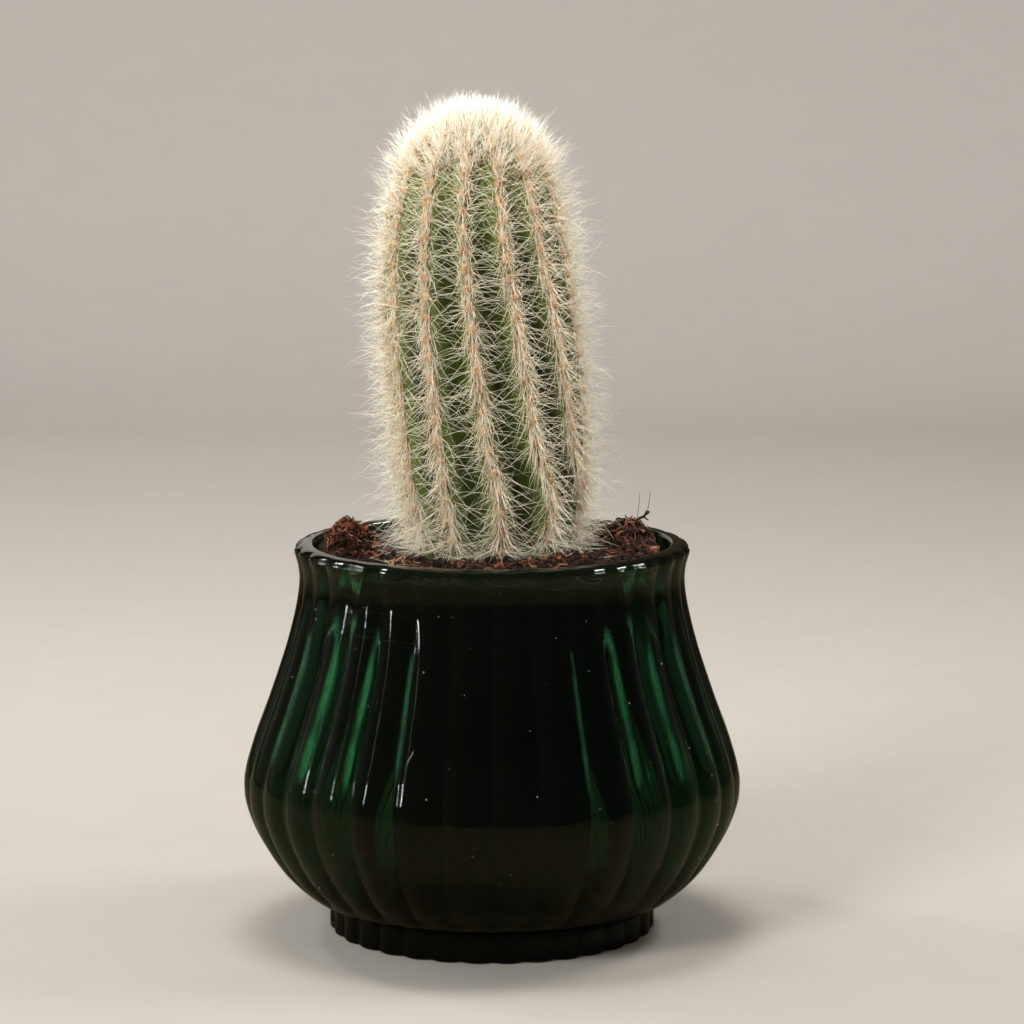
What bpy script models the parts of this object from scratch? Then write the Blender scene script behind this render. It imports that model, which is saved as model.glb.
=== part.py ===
"""A bristly columnar cactus growing in a fluted glass pot.

The pot is a thick glass vessel with lobes round its body and its foot. A plain tapered nursery pot
stands inside it, filled with potting soil that spreads over its rim to the glass. The cactus is one
ribbed stem with its spines, and it stands in a plain round hole in the soil.

Metres, +Z up. The origin is at the bottom centre of the glass foot, and -Y is the front.
"""

import math
import random

import bmesh
import bpy
from mathutils import Matrix, Vector, noise

MM = 0.001
GAP = 0.3 * MM  # clearance between pieces that touch on the real object
MERGE = 0.00001  # weld distance, well under the thinnest detail

# Glass pot
LOBES = 32  # round the body, and again round the foot
STEPS_PER_LOBE = 4
POT_STEPS = LOBES * STEPS_PER_LOBE
RIM_HEIGHT = 94.4 * MM
RIM_TOP_RADIUS = 46.5 * MM  # of the flat top of the lip
RIM_BEVEL = 0.8 * MM
MOUTH_RADIUS = 43.1 * MM
FLOOR_HEIGHT = 10 * MM
FLOOR_RADIUS = 33 * MM
FOOT_RADIUS = 39.4 * MM
FOOT_HEIGHT = 7 * MM
FOOT_BEVEL = 1 * MM
FOOT_RECESS = 1.5 * MM
FOOT_RING = 6.5 * MM  # width of the ring that the pot stands on
BODY_LOBE_DEPTH = 1.15 * MM
RIM_LOBE_DEPTH = 0.3 * MM
FOOT_LOBE_DEPTH = 0.65 * MM
LOBES_FLATTEN = (66 * MM, 90 * MM)  # heights over which they grow shallow towards the rim
LOBES_BEGIN = (9.5 * MM, 12.5 * MM)  # heights over which they rise from the bowl's plain ring
INSIDE_STEPS = 48

# Outside of the body from under the rim down to the foot, as (radius, height)
BODY_OUTLINE = [
    (47.6, 92.8), (46.6, 89), (46.4, 85), (47.4, 78.5), (49.9, 69), (53.9, 57), (57.6, 47),
    (59.6, 40), (60.0, 35.5), (59.3, 30.5), (56.6, 23.6), (52.2, 16.7), (47.6, 11.8), (43.6, 8.7),
]
# Inside of the body from the mouth down to the floor
INSIDE_OUTLINE = [
    (43.1, 92.6), (43.0, 85), (43.9, 78.5), (46.0, 69), (49.2, 59), (52.6, 50), (55.0, 42),
    (55.8, 36), (55.2, 30), (52.8, 23.5), (48.5, 17.5), (42.0, 12.4),
]

# Nursery pot
NURSERY_WALL = 0.8 * MM
NURSERY_STEP = 0.8 * MM  # height of the step under the collar
NURSERY_HEIGHT = 72 * MM
NURSERY_FOOT_RADIUS = 30 * MM
NURSERY_NECK_RADIUS = 40 * MM  # outside, just under the collar
NURSERY_COLLAR_RADIUS = 42 * MM
NURSERY_COLLAR_HEIGHT = 6 * MM
DRAIN_HOLES = 6
DRAIN_SIDES = 8
DRAIN_RADIUS = 3 * MM
DRAIN_CIRCLE = 19 * MM
NURSERY_STEPS = 36

# Soil
SOIL_LEVEL = 91.6 * MM
SOIL_RADIUS = 42.3 * MM
SOIL_STEPS = 48
SOIL_RINGS = [21.5, 25, 29, 33, 37, 40.5]  # radii of the rings of points on the top
SOIL_LUMPS = 1.1 * MM
LUMPS_PER_METRE = 170
SOIL_EDGE = (37.5 * MM, 42.5 * MM)  # radii over which it falls towards the glass
EDGE_FALL_LEFT, EDGE_FALL_RIGHT = 1.2 * MM, 4.2 * MM
# Heaps on the soil, as (x, y, height, spread along x, spread along y)
HEAPS = [
    (33, 6, 6.6, 8, 11),
    (22, -22, 2.2, 9, 8),
    (-37, 4, 4.2, 6, 9),
    (0, -30, 1.6, 16, 8),
]
FIBRES = 14
FIBRE_RADIUS = 0.5 * MM
FIBRE_ROOT = 1.5 * MM  # sunk into the soil
TWIG_RADIUS = 0.6 * MM
TWIG_START = (33.5, 4)
TWIG_END = (37.5, 2, 102.5)

# Cactus
RIBS = 12
STEPS_PER_RIB = 6
FIRST_RIB = -3  # degrees from the front towards +X
STEM_FOOT = 80 * MM  # bottom of the buried end
SOCKET_RADIUS = 18 * MM
STEM_FOOT_BEVEL = 2 * MM
RIBS_GROW = (90.5 * MM, 99.5 * MM)  # heights over which the ribs rise from the round plug
FURROW_DEPTH = 0.155  # of the radius
RIB_SHARPNESS = 1.3
STEM_TOP = 196 * MM
# Radius over the ribs, as (radius, height)
STEM_OUTLINE = [
    (18.0, 94), (19.3, 99), (21.0, 107), (22.0, 118), (22.4, 132), (22.3, 146), (21.6, 159),
    (20.3, 170), (18.2, 179), (15.4, 186), (11.8, 191), (7.2, 194.6),
]
# How the ribs crowd or spread round the front right, from the bottom up, as (amount, height)
RIB_SPREAD = [(0.21, 96), (0.21, 107), (0.10, 116), (0.02, 124), (-0.09, 154), (-0.15, 170)]
SPREAD_CENTRE = 20  # degrees
SPREAD_STILL = -50  # degrees, where the ribs run straight
STEM_START_X = 0.9 * MM
LEAN = 5 * MM  # how far the axis moves to -X over its lower part
LEAN_FROM, LEAN_TO = 92 * MM, 178 * MM

# Spines
SPINE_SIDES = 3
SPINE_RADIUS = 0.42 * MM
SPINE_ROOT = 1.3 * MM  # sunk into the stem
AREOLE_START, AREOLE_END, AREOLE_STEP = 97.5 * MM, 187 * MM, 6.0 * MM
SIDE_LENGTH = (5.0 * MM, 6.6 * MM)
FRONT_LENGTH = (5.0 * MM, 6.2 * MM)
CROWN_SPINES = 58
CROWN_TOP = 204 * MM
SOIL_CLEARANCE = 1.2 * MM
LIFT_STEP, MOST_LIFTS = 0.12, 30
CROWN_DEPTH = 9 * MM  # how far down the dome the crown's brush grows
CROWN_SPREAD = 22 * MM  # a spine this far from the axis would lean out at 45 degrees
GOLDEN_ANGLE = math.radians(137.5)

SEED = 7


def clear_scene():
    for obj in list(bpy.data.objects):
        bpy.data.objects.remove(obj, do_unlink=True)


def collection(name):
    made = bpy.data.collections.new(name)
    bpy.context.scene.collection.children.link(made)
    return made


def material(name, colour, roughness, metallic=0.0, transmission=0.0):
    made = bpy.data.materials.new(name)
    made.use_nodes = True
    made.diffuse_color = (*colour, 1)
    shader = made.node_tree.nodes["Principled BSDF"]
    shader.inputs["Base Color"].default_value = (*colour, 1)
    shader.inputs["Roughness"].default_value = roughness
    shader.inputs["Metallic"].default_value = metallic
    shader.inputs["Transmission Weight"].default_value = transmission
    return made


def smooth_step(value, start, end):
    """Goes smoothly from 0 at the start to 1 at the end."""
    share = min(max((value - start) / (end - start), 0.0), 1.0)
    return share * share * (3 - 2 * share)


def in_metres(points):
    return [Vector(point) * MM for point in points]


def smooth_curve(points, per_span):
    """Points along a smooth curve through the given ones (Catmull-Rom)."""
    points = in_metres(points)
    ends = [2 * points[0] - points[1], *points, 2 * points[-1] - points[-2]]
    curve = []
    for a, b, c, d in zip(ends, ends[1:], ends[2:], ends[3:]):
        for i in range(per_span):
            t = i / per_span
            bend = (2 * a - 5 * b + 4 * c - d) * t**2 + (3 * b - a - 3 * c + d) * t**3
            curve.append(0.5 * (2 * b + (c - a) * t + bend))
    return curve + [points[-1]]


def value_at(points, height):
    """Reads a list of (value, height in mm) at a height in metres, in straight steps."""
    height /= MM
    if height <= points[0][1]:
        return points[0][0]
    for (v0, h0), (v1, h1) in zip(points, points[1:]):
        if height <= h1:
            return v0 + (v1 - v0) * (height - h0) / (h1 - h0)
    return points[-1][0]


def turned(name, profile, steps, parts):
    """A round shape from (radius, height) points that run down its outer side."""
    mesh = bpy.data.meshes.new(name)
    edges = [(i, i + 1) for i in range(len(profile) - 1)]
    mesh.from_pydata([(r, 0, z) for r, z in profile], edges, [])
    obj = bpy.data.objects.new(name, mesh)
    parts.objects.link(obj)
    screw = obj.modifiers.new("turn", "SCREW")
    screw.steps = screw.render_steps = steps
    screw.use_merge_vertices = True
    screw.merge_threshold = MERGE
    return obj


def apply_modifiers(obj):
    graph = bpy.context.evaluated_depsgraph_get()
    mesh = bpy.data.meshes.new_from_object(obj.evaluated_get(graph))
    obj.modifiers.clear()
    old, obj.data = obj.data, mesh
    bpy.data.meshes.remove(old)


def cut(obj, cutter):
    boolean = obj.modifiers.new(cutter.name, "BOOLEAN")
    boolean.operation = "DIFFERENCE"
    boolean.object = cutter
    cutter.hide_render = True
    cutter.display_type = "WIRE"


def finish(obj, surface, sharp_angle=35):
    apply_modifiers(obj)
    obj.data.materials.clear()
    obj.data.materials.append(surface)
    obj.data.shade_smooth()
    obj.data.set_sharp_from_angle(angle=math.radians(sharp_angle))


def lobe_depth(height):
    """How deep the creases between the lobes are at a height of the turned glass."""
    if height > RIM_HEIGHT - 0.1 * MM:
        return 0.0
    if height <= FOOT_HEIGHT + MERGE:
        return FOOT_LOBE_DEPTH
    towards_rim = smooth_step(height, *LOBES_FLATTEN)
    above_foot = smooth_step(height, *LOBES_BEGIN)
    return above_foot * (BODY_LOBE_DEPTH + (RIM_LOBE_DEPTH - BODY_LOBE_DEPTH) * towards_rim)


def glass_pot(parts, cutters):
    """The fluted vessel: a turned outside pressed into lobes, and a plain turned hollow."""
    foot = FOOT_RADIUS
    outline = [
        (0, RIM_HEIGHT), (RIM_TOP_RADIUS, RIM_HEIGHT),
        (RIM_TOP_RADIUS + RIM_BEVEL, RIM_HEIGHT - RIM_BEVEL / 2), *in_metres(BODY_OUTLINE),
        (foot + FOOT_BEVEL, FOOT_HEIGHT + FOOT_BEVEL / 2), (foot, FOOT_HEIGHT),
        (foot, FOOT_BEVEL), (foot - FOOT_BEVEL, 0), (0, 0),
    ]
    pot = turned("glass_pot", outline, POT_STEPS, parts)
    apply_modifiers(pot)
    for vertex in pot.data.vertices:
        x, y, z = vertex.co
        radius = math.hypot(x, y)
        if radius < MM:
            continue
        turn = math.atan2(y, x) * LOBES / math.tau
        across = 2 * (turn % 1) - 1  # -1 and 1 in the creases, 0 on the lobe's crest
        scale = 1 - lobe_depth(z) * across**2 / radius
        vertex.co = (x * scale, y * scale, z)
    above = RIM_HEIGHT + RIM_BEVEL
    hollow = [
        (0, above), (MOUTH_RADIUS + 2 * RIM_BEVEL, above), (MOUTH_RADIUS + RIM_BEVEL, RIM_HEIGHT),
        (MOUTH_RADIUS + RIM_BEVEL / 4, RIM_HEIGHT - RIM_BEVEL),
        *in_metres(INSIDE_OUTLINE), (FLOOR_RADIUS, FLOOR_HEIGHT), (0, FLOOR_HEIGHT),
    ]
    cut(pot, turned("glass_hollow", hollow, INSIDE_STEPS, cutters))
    ring = foot - FOOT_RING
    recess = [
        (0, FOOT_RECESS), (ring - FOOT_RECESS, FOOT_RECESS), (ring + FOOT_RECESS, -FOOT_RECESS),
        (0, -FOOT_RECESS),
    ]
    cut(pot, turned("foot_recess", recess, INSIDE_STEPS, cutters))
    finish(pot, material("bottle_green_glass", (0.02, 0.16, 0.07), 0.04, transmission=0.9))


def nursery_inside(offset):
    """The nursery pot's inner side from its rim down, moved inwards by an offset."""
    base = FLOOR_HEIGHT + GAP
    top = base + NURSERY_HEIGHT
    neck = top - NURSERY_COLLAR_HEIGHT
    inset = NURSERY_WALL + offset
    return [
        (NURSERY_COLLAR_RADIUS - inset, top), (NURSERY_COLLAR_RADIUS - inset, neck + inset),
        (NURSERY_NECK_RADIUS - inset, neck - NURSERY_STEP + inset / 4),
        (NURSERY_FOOT_RADIUS - inset, base + inset),
    ]


def nursery_pot(parts, cutters):
    """The thin plastic growing pot inside the glass, with its collar and drain holes."""
    base = FLOOR_HEIGHT + GAP
    top = base + NURSERY_HEIGHT
    neck = top - NURSERY_COLLAR_HEIGHT
    inside = nursery_inside(0)
    outline = [
        (0, inside[-1][1]), *reversed(inside),
        (NURSERY_COLLAR_RADIUS, top), (NURSERY_COLLAR_RADIUS, neck),
        (NURSERY_NECK_RADIUS, neck - NURSERY_STEP), (NURSERY_FOOT_RADIUS, base), (0, base),
    ]
    pot = turned("nursery_pot", outline, NURSERY_STEPS, parts)
    for i in range(DRAIN_HOLES):
        angle = math.tau * i / DRAIN_HOLES
        bpy.ops.mesh.primitive_cylinder_add(
            vertices=DRAIN_SIDES, radius=DRAIN_RADIUS, depth=4 * NURSERY_WALL,
            location=(DRAIN_CIRCLE * math.cos(angle), DRAIN_CIRCLE * math.sin(angle), base),
        )
        hole = bpy.context.object
        hole.name = f"drain_hole_{i + 1}"
        for owner in hole.users_collection:
            owner.objects.unlink(hole)
        cutters.objects.link(hole)
        cut(pot, hole)
    finish(pot, material("black_plastic", (0.012, 0.012, 0.013), 0.45))


def stem_axis(height):
    """X of the stem's axis, which leans to -X and straightens near the top."""
    return STEM_START_X - LEAN * smooth_step(height, LEAN_FROM, LEAN_TO)


def soil_height(x, y):
    """The lumpy top of the soil: its level, its heaps, and a fall towards the glass."""
    height = SOIL_LEVEL
    for hx, hy, rise, wide, deep in HEAPS:
        height += rise * MM * math.exp(-(((x / MM - hx) / wide) ** 2 + ((y / MM - hy) / deep) ** 2))
    height += SOIL_LUMPS * noise.noise(Vector((x, y, 0)) * LUMPS_PER_METRE)
    edge = smooth_step(math.hypot(x, y), *SOIL_EDGE)
    rightwards = smooth_step(x, 0, SOIL_RADIUS)
    return height - edge * (EDGE_FALL_LEFT + (EDGE_FALL_RIGHT - EDGE_FALL_LEFT) * rightwards)


def needle(name, start, end, radius, home):
    """A thin three-sided needle, as its own object, from its root to its point."""
    along = end - start
    mesh = bpy.data.meshes.new(name)
    shape = bmesh.new()
    bmesh.ops.create_cone(
        shape, cap_ends=True, segments=SPINE_SIDES, radius1=radius, radius2=0, depth=along.length,
        matrix=Matrix.Translation((0, 0, along.length / 2)),
    )
    bmesh.ops.remove_doubles(shape, verts=shape.verts, dist=MERGE)
    shape.to_mesh(mesh)
    shape.free()
    obj = bpy.data.objects.new(name, mesh)
    obj.matrix_world = Matrix.Translation(start) @ along.to_track_quat("Z", "Y").to_matrix().to_4x4()
    home.objects.link(obj)


def join_all(obj, pieces):
    """Joins a collection of overlapping pieces to an object, and removes the pieces."""
    union = obj.modifiers.new("join", "BOOLEAN")
    union.operation = "UNION"
    union.operand_type = "COLLECTION"
    union.collection = pieces
    bpy.context.view_layer.update()
    apply_modifiers(obj)
    for piece in list(pieces.objects):
        bpy.data.objects.remove(piece, do_unlink=True)
    bpy.data.collections.remove(pieces)


def soil(parts, cutters):
    """The potting soil: a plug in the nursery pot under a lumpy top that reaches the glass."""
    draw = random.Random(SEED)
    plug = nursery_inside(GAP)
    over_rim = plug[0][1] + GAP
    outline = [
        (0, SOIL_LEVEL), *[(r * MM, SOIL_LEVEL) for r in SOIL_RINGS], (SOIL_RADIUS, SOIL_LEVEL),
        (SOIL_RADIUS, over_rim), (plug[0][0], over_rim), *plug[1:], (0, plug[-1][1]),
    ]
    earth = turned("soil", outline, SOIL_STEPS, parts)
    apply_modifiers(earth)
    for vertex in earth.data.vertices:
        x, y, z = vertex.co
        if abs(z - SOIL_LEVEL) < MERGE:
            vertex.co.z = soil_height(x, y)
    bits = collection("soil_fibres")
    twig_foot = Vector((TWIG_START[0] * MM, TWIG_START[1] * MM, 0))
    twig_foot.z = soil_height(*twig_foot.xy) - FIBRE_ROOT
    needle("twig", twig_foot, Vector(TWIG_END) * MM, TWIG_RADIUS, bits)
    for i in range(FIBRES):
        angle, radius = draw.uniform(0, math.tau), draw.uniform(26, 38) * MM
        start = Vector((radius * math.cos(angle), radius * math.sin(angle), 0))
        start.z = soil_height(start.x, start.y) - FIBRE_ROOT
        heading = angle + math.pi * draw.uniform(0.35, 0.65)
        reach = Vector((math.cos(heading), math.sin(heading), draw.uniform(0.35, 0.6)))
        end = start + reach * draw.uniform(5, 8) * MM
        needle(f"fibre_{i + 1}", start, end, FIBRE_RADIUS, bits)
    join_all(earth, bits)
    socket = SOCKET_RADIUS + GAP
    above, below = 1.1 * RIM_HEIGHT, STEM_FOOT - GAP
    outline = [(0, above), (socket, above), (socket, below), (0, below)]
    hole = turned("stem_hole", outline, SOIL_STEPS, cutters)
    hole.location.x = STEM_START_X
    cut(earth, hole)
    finish(earth, material("potting_soil", (0.045, 0.022, 0.014), 0.95))


def rib_azimuth(position, height):
    """Azimuth of a place round the stem, in radians from the front towards +X."""
    spread = value_at(RIB_SPREAD, height)
    centre, still = math.radians(SPREAD_CENTRE), math.radians(SPREAD_STILL)
    return position + spread * (math.sin(position - centre) - math.sin(still - centre))


def stem_radius(height):
    """Radius over the ribs at a height."""
    if height <= STEM_OUTLINE[0][1] * MM:
        return SOCKET_RADIUS
    curve = smooth_curve(STEM_OUTLINE, 4)
    for low, high in zip(curve, curve[1:]):
        if height <= high.y:
            return low.x + (high.x - low.x) * (height - low.y) / (high.y - low.y)
    last = curve[-1]
    return last.x * max((STEM_TOP - height) / (STEM_TOP - last.y), 0) ** 0.6


def rib_depth(height):
    """Depth of the furrows: none in the soil, and shallower with the radius on the dome."""
    return FURROW_DEPTH * stem_radius(height) * smooth_step(height, *RIBS_GROW)


def stem_point(position, height, below=0.0):
    """A point of the stem's surface, or a little below it."""
    wave = abs(math.cos((position - math.radians(FIRST_RIB)) * RIBS / 2)) ** RIB_SHARPNESS
    radius = stem_radius(height) - rib_depth(height) * (1 - wave) - below
    azimuth = rib_azimuth(position, height)
    return Vector((stem_axis(height) + radius * math.sin(azimuth), -radius * math.cos(azimuth), height))


def stem_body(parts):
    """The ribbed stem as rings of points joined into a closed skin."""
    plug = [STEM_FOOT, STEM_FOOT + STEM_FOOT_BEVEL, RIBS_GROW[0]]
    heights = plug + [z * MM for _, z in STEM_OUTLINE]
    count = RIBS * STEPS_PER_RIB
    shape = bmesh.new()
    rings = []
    for level, height in enumerate(heights):
        inset = STEM_FOOT_BEVEL if level == 0 else 0
        places = [math.radians(FIRST_RIB) + math.tau * i / count for i in range(count)]
        rings.append([shape.verts.new(stem_point(place, height, inset)) for place in places])
    for lower, upper in zip(rings, rings[1:]):
        for i in range(count):
            j = (i + 1) % count
            shape.faces.new((lower[i], lower[j], upper[j], upper[i]))
    tip = shape.verts.new((stem_axis(STEM_TOP), 0, STEM_TOP))
    for i in range(count):
        shape.faces.new((rings[-1][i], rings[-1][(i + 1) % count], tip))
    shape.faces.new(list(reversed(rings[0])))
    mesh = bpy.data.meshes.new("cactus")
    shape.to_mesh(mesh)
    shape.free()
    stem = bpy.data.objects.new("cactus", mesh)
    parts.objects.link(stem)
    return stem


def lift_clear(start, direction, length):
    """Turns a spine upwards until it passes clear over the soil and the pot's rim."""
    for _ in range(MOST_LIFTS):
        clear = True
        for share in (0.5, 0.75, 1.0):
            point = start + direction * length * share
            floor = soil_height(point.x, point.y)
            if math.hypot(point.x, point.y) > SOIL_RADIUS:
                floor = RIM_HEIGHT
            clear = clear and point.z > floor + SOIL_CLEARANCE
        if clear:
            break
        direction = (direction + Vector((0, 0, LIFT_STEP))).normalized()
    return direction


def spines(home):
    """Three spines from each areole along every rib, and a brush of them on the crown."""
    draw = random.Random(SEED + 1)
    number = 0
    for rib in range(RIBS):
        position = math.radians(FIRST_RIB) + math.tau * rib / RIBS
        height = AREOLE_START + (rib % 2) * AREOLE_STEP / 2
        while height < AREOLE_END:
            azimuth = rib_azimuth(position, height)
            slope = (stem_radius(height + MM) - stem_radius(height - MM)) / (2 * MM)
            out = Vector((math.sin(azimuth), -math.cos(azimuth), -slope)).normalized()
            side = Vector((math.cos(azimuth), math.sin(azimuth), 0))
            up = out.cross(side)
            for way, (low, high) in ((-1, SIDE_LENGTH), (1, SIDE_LENGTH), (0, FRONT_LENGTH)):
                tilt = draw.uniform(-0.35, 0.35)
                push = draw.uniform(0.6, 0.85) if way else 1.0
                direction = (out * push + side * way * 0.8 + up * tilt).normalized()
                length = draw.uniform(low, high)
                foot = stem_point(position, height)
                direction = lift_clear(foot, direction, length)
                number += 1
                root, tip = foot - out * SPINE_ROOT, foot + direction * length
                needle(f"spine_{number}", root, tip, SPINE_RADIUS, home)
            height += AREOLE_STEP
    for i in range(CROWN_SPINES):
        share = (i + 0.5) / CROWN_SPINES
        height = STEM_TOP - CROWN_DEPTH * share**1.25
        foot = stem_point(i * GOLDEN_ANGLE, height, GAP)
        out = Vector((foot.x - stem_axis(height), foot.y, 0)) / CROWN_SPREAD
        direction = (out + Vector((0, 0, 1.0 - 0.35 * share))).normalized()
        length = (CROWN_TOP - STEM_TOP) * draw.uniform(0.9, 1.0)
        root, tip = foot - direction * SPINE_ROOT, foot + direction * length
        needle(f"crown_{i + 1}", root, tip, SPINE_RADIUS, home)


def cactus(parts):
    """The stem with its spines fused to it."""
    stem = stem_body(parts)
    home = collection("spines")
    spines(home)
    join_all(stem, home)
    finish(stem, material("cactus_green", (0.07, 0.16, 0.05), 0.6), sharp_angle=60)


def main():
    clear_scene()
    parts = collection("potted_columnar_cactus")
    cutters = collection("cutters")
    glass_pot(parts, cutters)
    nursery_pot(parts, cutters)
    soil(parts, cutters)
    cactus(parts)


main()
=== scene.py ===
# %% [markdown]
# # A bristly column cactus in a fluted glass pot
# The pieces are the glass, the black growing pot inside it, the soil, and one cactus. Their sizes are
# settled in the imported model. Here each of them gets its fine surface, and the cactus gets its bristles.
# Everything is in metres with +Z up, the foot of the glass stands on z = 0, and -Y is the front.

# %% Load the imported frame
import math

import bmesh
import bpy
import numpy as np
from mathutils import Matrix, Vector, noise


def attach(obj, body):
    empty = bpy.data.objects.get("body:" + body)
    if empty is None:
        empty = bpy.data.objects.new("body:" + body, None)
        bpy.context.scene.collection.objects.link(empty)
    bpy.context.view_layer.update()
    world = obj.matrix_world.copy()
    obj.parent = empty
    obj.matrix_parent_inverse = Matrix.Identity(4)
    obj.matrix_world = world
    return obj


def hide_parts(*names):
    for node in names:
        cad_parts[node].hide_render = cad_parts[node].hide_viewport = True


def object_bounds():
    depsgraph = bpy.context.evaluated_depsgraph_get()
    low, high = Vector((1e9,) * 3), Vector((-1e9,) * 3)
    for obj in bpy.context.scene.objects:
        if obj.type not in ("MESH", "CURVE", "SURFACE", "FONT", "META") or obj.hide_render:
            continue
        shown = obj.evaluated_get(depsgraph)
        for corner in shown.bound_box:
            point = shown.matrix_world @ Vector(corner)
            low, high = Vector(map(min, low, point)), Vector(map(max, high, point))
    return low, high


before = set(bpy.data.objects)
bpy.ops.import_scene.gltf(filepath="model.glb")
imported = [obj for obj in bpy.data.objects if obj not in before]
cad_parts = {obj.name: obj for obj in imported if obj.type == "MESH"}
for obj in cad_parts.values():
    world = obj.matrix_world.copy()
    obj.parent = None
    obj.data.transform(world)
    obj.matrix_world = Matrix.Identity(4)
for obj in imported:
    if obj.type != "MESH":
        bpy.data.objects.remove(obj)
cad_box = [list(corner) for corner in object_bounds()]
print("nodes:", sorted(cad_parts))
print("model, mm:", [round((high - low) * 1000, 1) for low, high in zip(*cad_box)])

# %% [markdown]
# Two helpers come first. A smooth curve through a few chosen points gives every outline, so an outline
# is a short list that a person can read. The Catmull-Rom formula is used because the curve passes
# through its points, which a Bezier or a B-spline handle doesn't.

# %% Smooth curves and smooth steps
MM = 0.001
GAP = 0.3 * MM


def smooth_curve(points, per_span):
    """Points along a smooth curve through the given ones."""
    points = np.asarray(points, float)
    ends = np.vstack([2 * points[0] - points[1], points, 2 * points[-1] - points[-2]])
    t = (np.arange(per_span) / per_span)[:, None]
    spans = []
    for a, b, c, d in zip(ends, ends[1:], ends[2:], ends[3:]):
        bend = (2 * a - 5 * b + 4 * c - d) * t**2 + (3 * b - a - 3 * c + d) * t**3
        spans.append(0.5 * (2 * b + (c - a) * t + bend))
    return np.vstack(spans + [points[-1:]])


def smooth_step(value, start, end):
    """Goes smoothly from 0 at the start to 1 at the end."""
    share = np.clip((value - start) / (end - start), 0, 1)
    return share * share * (3 - 2 * share)


def between(ends, share):
    """The value at a share of the way from the first end to the last."""
    return ends[0] + (ends[1] - ends[0]) * share


def unit(vectors):
    return vectors / np.maximum(np.linalg.norm(vectors, axis=-1, keepdims=True), 1e-12)


# %% [markdown]
# Every piece here is built from rings of points or from thin tubes. Arrays of points make that fast,
# and the faces follow from how the rings are numbered. Each piece ends up closed, with its faces
# pointing out, which glass needs for light to bend in the right direction.

# %% Meshes from rings and from tubes
def make_piece(name, points, faces, material, node=None, values=None):
    """An object that rides with the part, with optional values stored on its points."""
    mesh = bpy.data.meshes.new(name)
    mesh.from_pydata(np.asarray(points).tolist(), [], faces)
    mesh.shade_smooth()
    for key, numbers in (values or {}).items():
        layer = mesh.attributes.new(key, "FLOAT", "POINT")
        layer.data.foreach_set("value", np.asarray(numbers, np.float32).ravel())
    mesh.materials.append(material)
    piece = bpy.data.objects.new(name, mesh)
    bpy.context.scene.collection.objects.link(piece)
    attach(piece, "root")
    if node:
        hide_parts(node)
    mesh.calc_loop_triangles()
    print(f"{name}: {len(mesh.loop_triangles)} triangles")
    return piece


def ring_faces(levels, steps):
    """Quads between rings, then fans to one point before the first ring and one after the last."""
    index = np.arange(levels * steps).reshape(levels, steps)
    beside = np.roll(index, -1, axis=1)
    quads = np.stack([index[:-1], beside[:-1], beside[1:], index[1:]], axis=-1).reshape(-1, 4)
    first = [(levels * steps, int(b), int(a)) for a, b in zip(index[0], beside[0])]
    last = [(int(a), int(b), levels * steps + 1) for a, b in zip(index[-1], beside[-1])]
    return quads.tolist() + first + last


def tubes(paths, radii, sides=3):
    """Closed tapering tubes. Paths are [tube, point, xyz], and each tube ends in one point."""
    count, length, _ = paths.shape
    along = unit(np.gradient(paths, axis=1))
    overall = unit(paths[:, -1] - paths[:, 0])
    helper = np.where(np.abs(overall[:, 2:]) < 0.7, [[0.0, 0.0, 1.0]], [[0.0, 1.0, 0.0]])
    first = unit(np.cross(along, helper[:, None]))
    second = np.cross(along, first)
    turn = math.tau * np.arange(sides) / sides
    across = first[:, :, None] * np.cos(turn)[:, None] + second[:, :, None] * np.sin(turn)[:, None]
    rings = paths[:, :-1, None] + across[:, :-1] * radii[:, :-1, None, None]
    points = np.concatenate([rings.reshape(count, -1, 3), paths[:, -1:]], axis=1)
    index = np.arange((length - 1) * sides).reshape(length - 1, sides)
    beside = np.roll(index, -1, axis=1)
    quads = np.stack([index[:-1], beside[:-1], beside[1:], index[1:]], axis=-1).reshape(-1, 4)
    tip = (length - 1) * sides
    tips = np.stack([index[-1], beside[-1], np.full(sides, tip)], axis=-1)
    starts = (np.arange(count) * points.shape[1])[:, None, None]
    faces = (quads + starts).reshape(-1, 4).tolist() + (tips + starts).reshape(-1, 3).tolist()
    faces += (index[0, ::-1] + starts[:, 0]).tolist()
    share = np.repeat(np.linspace(0, 1, length)[:-1], sides)
    return points, faces, np.append(share, 1.0)


# %% [markdown]
# ## Camera
# The object is seen from a little above, from about nine tenths of a metre in front, through a long
# lens. The distance, height and tilt come from how the circles of the rim and the foot flatten in the
# picture. The pot stands slightly left of the middle, which a small shift of the lens gives.

# %% Camera
CAMERA_DISTANCE = 0.923
CAMERA_HEIGHT = 0.2343
CAMERA_PITCH = 8.193
LENS = 136.55
SHIFT = 0.0195

camera_data = bpy.data.cameras.new("camera")
camera_data.lens = LENS
camera_data.sensor_width = 36
camera_data.shift_x = SHIFT
camera_data.clip_start = 0.01
camera = bpy.data.objects.new("camera", camera_data)
camera.location = (0, -CAMERA_DISTANCE, CAMERA_HEIGHT)
camera.rotation_euler = (math.radians(90 - CAMERA_PITCH), 0, 0)
bpy.context.scene.collection.objects.link(camera)
bpy.context.scene.camera = camera
bpy.context.scene.view_settings.view_transform = "Standard"
print("lens", LENS, "mm at", CAMERA_DISTANCE, "m")

# %% [markdown]
# ## Small helpers for shader nodes
# Every finish here is a small tree of nodes. These helpers add one node each and hand back its result,
# so a tree reads like a sum.

# %% Node helpers
def link(tree, start, end):
    tree.links.new(start, end)


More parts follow.
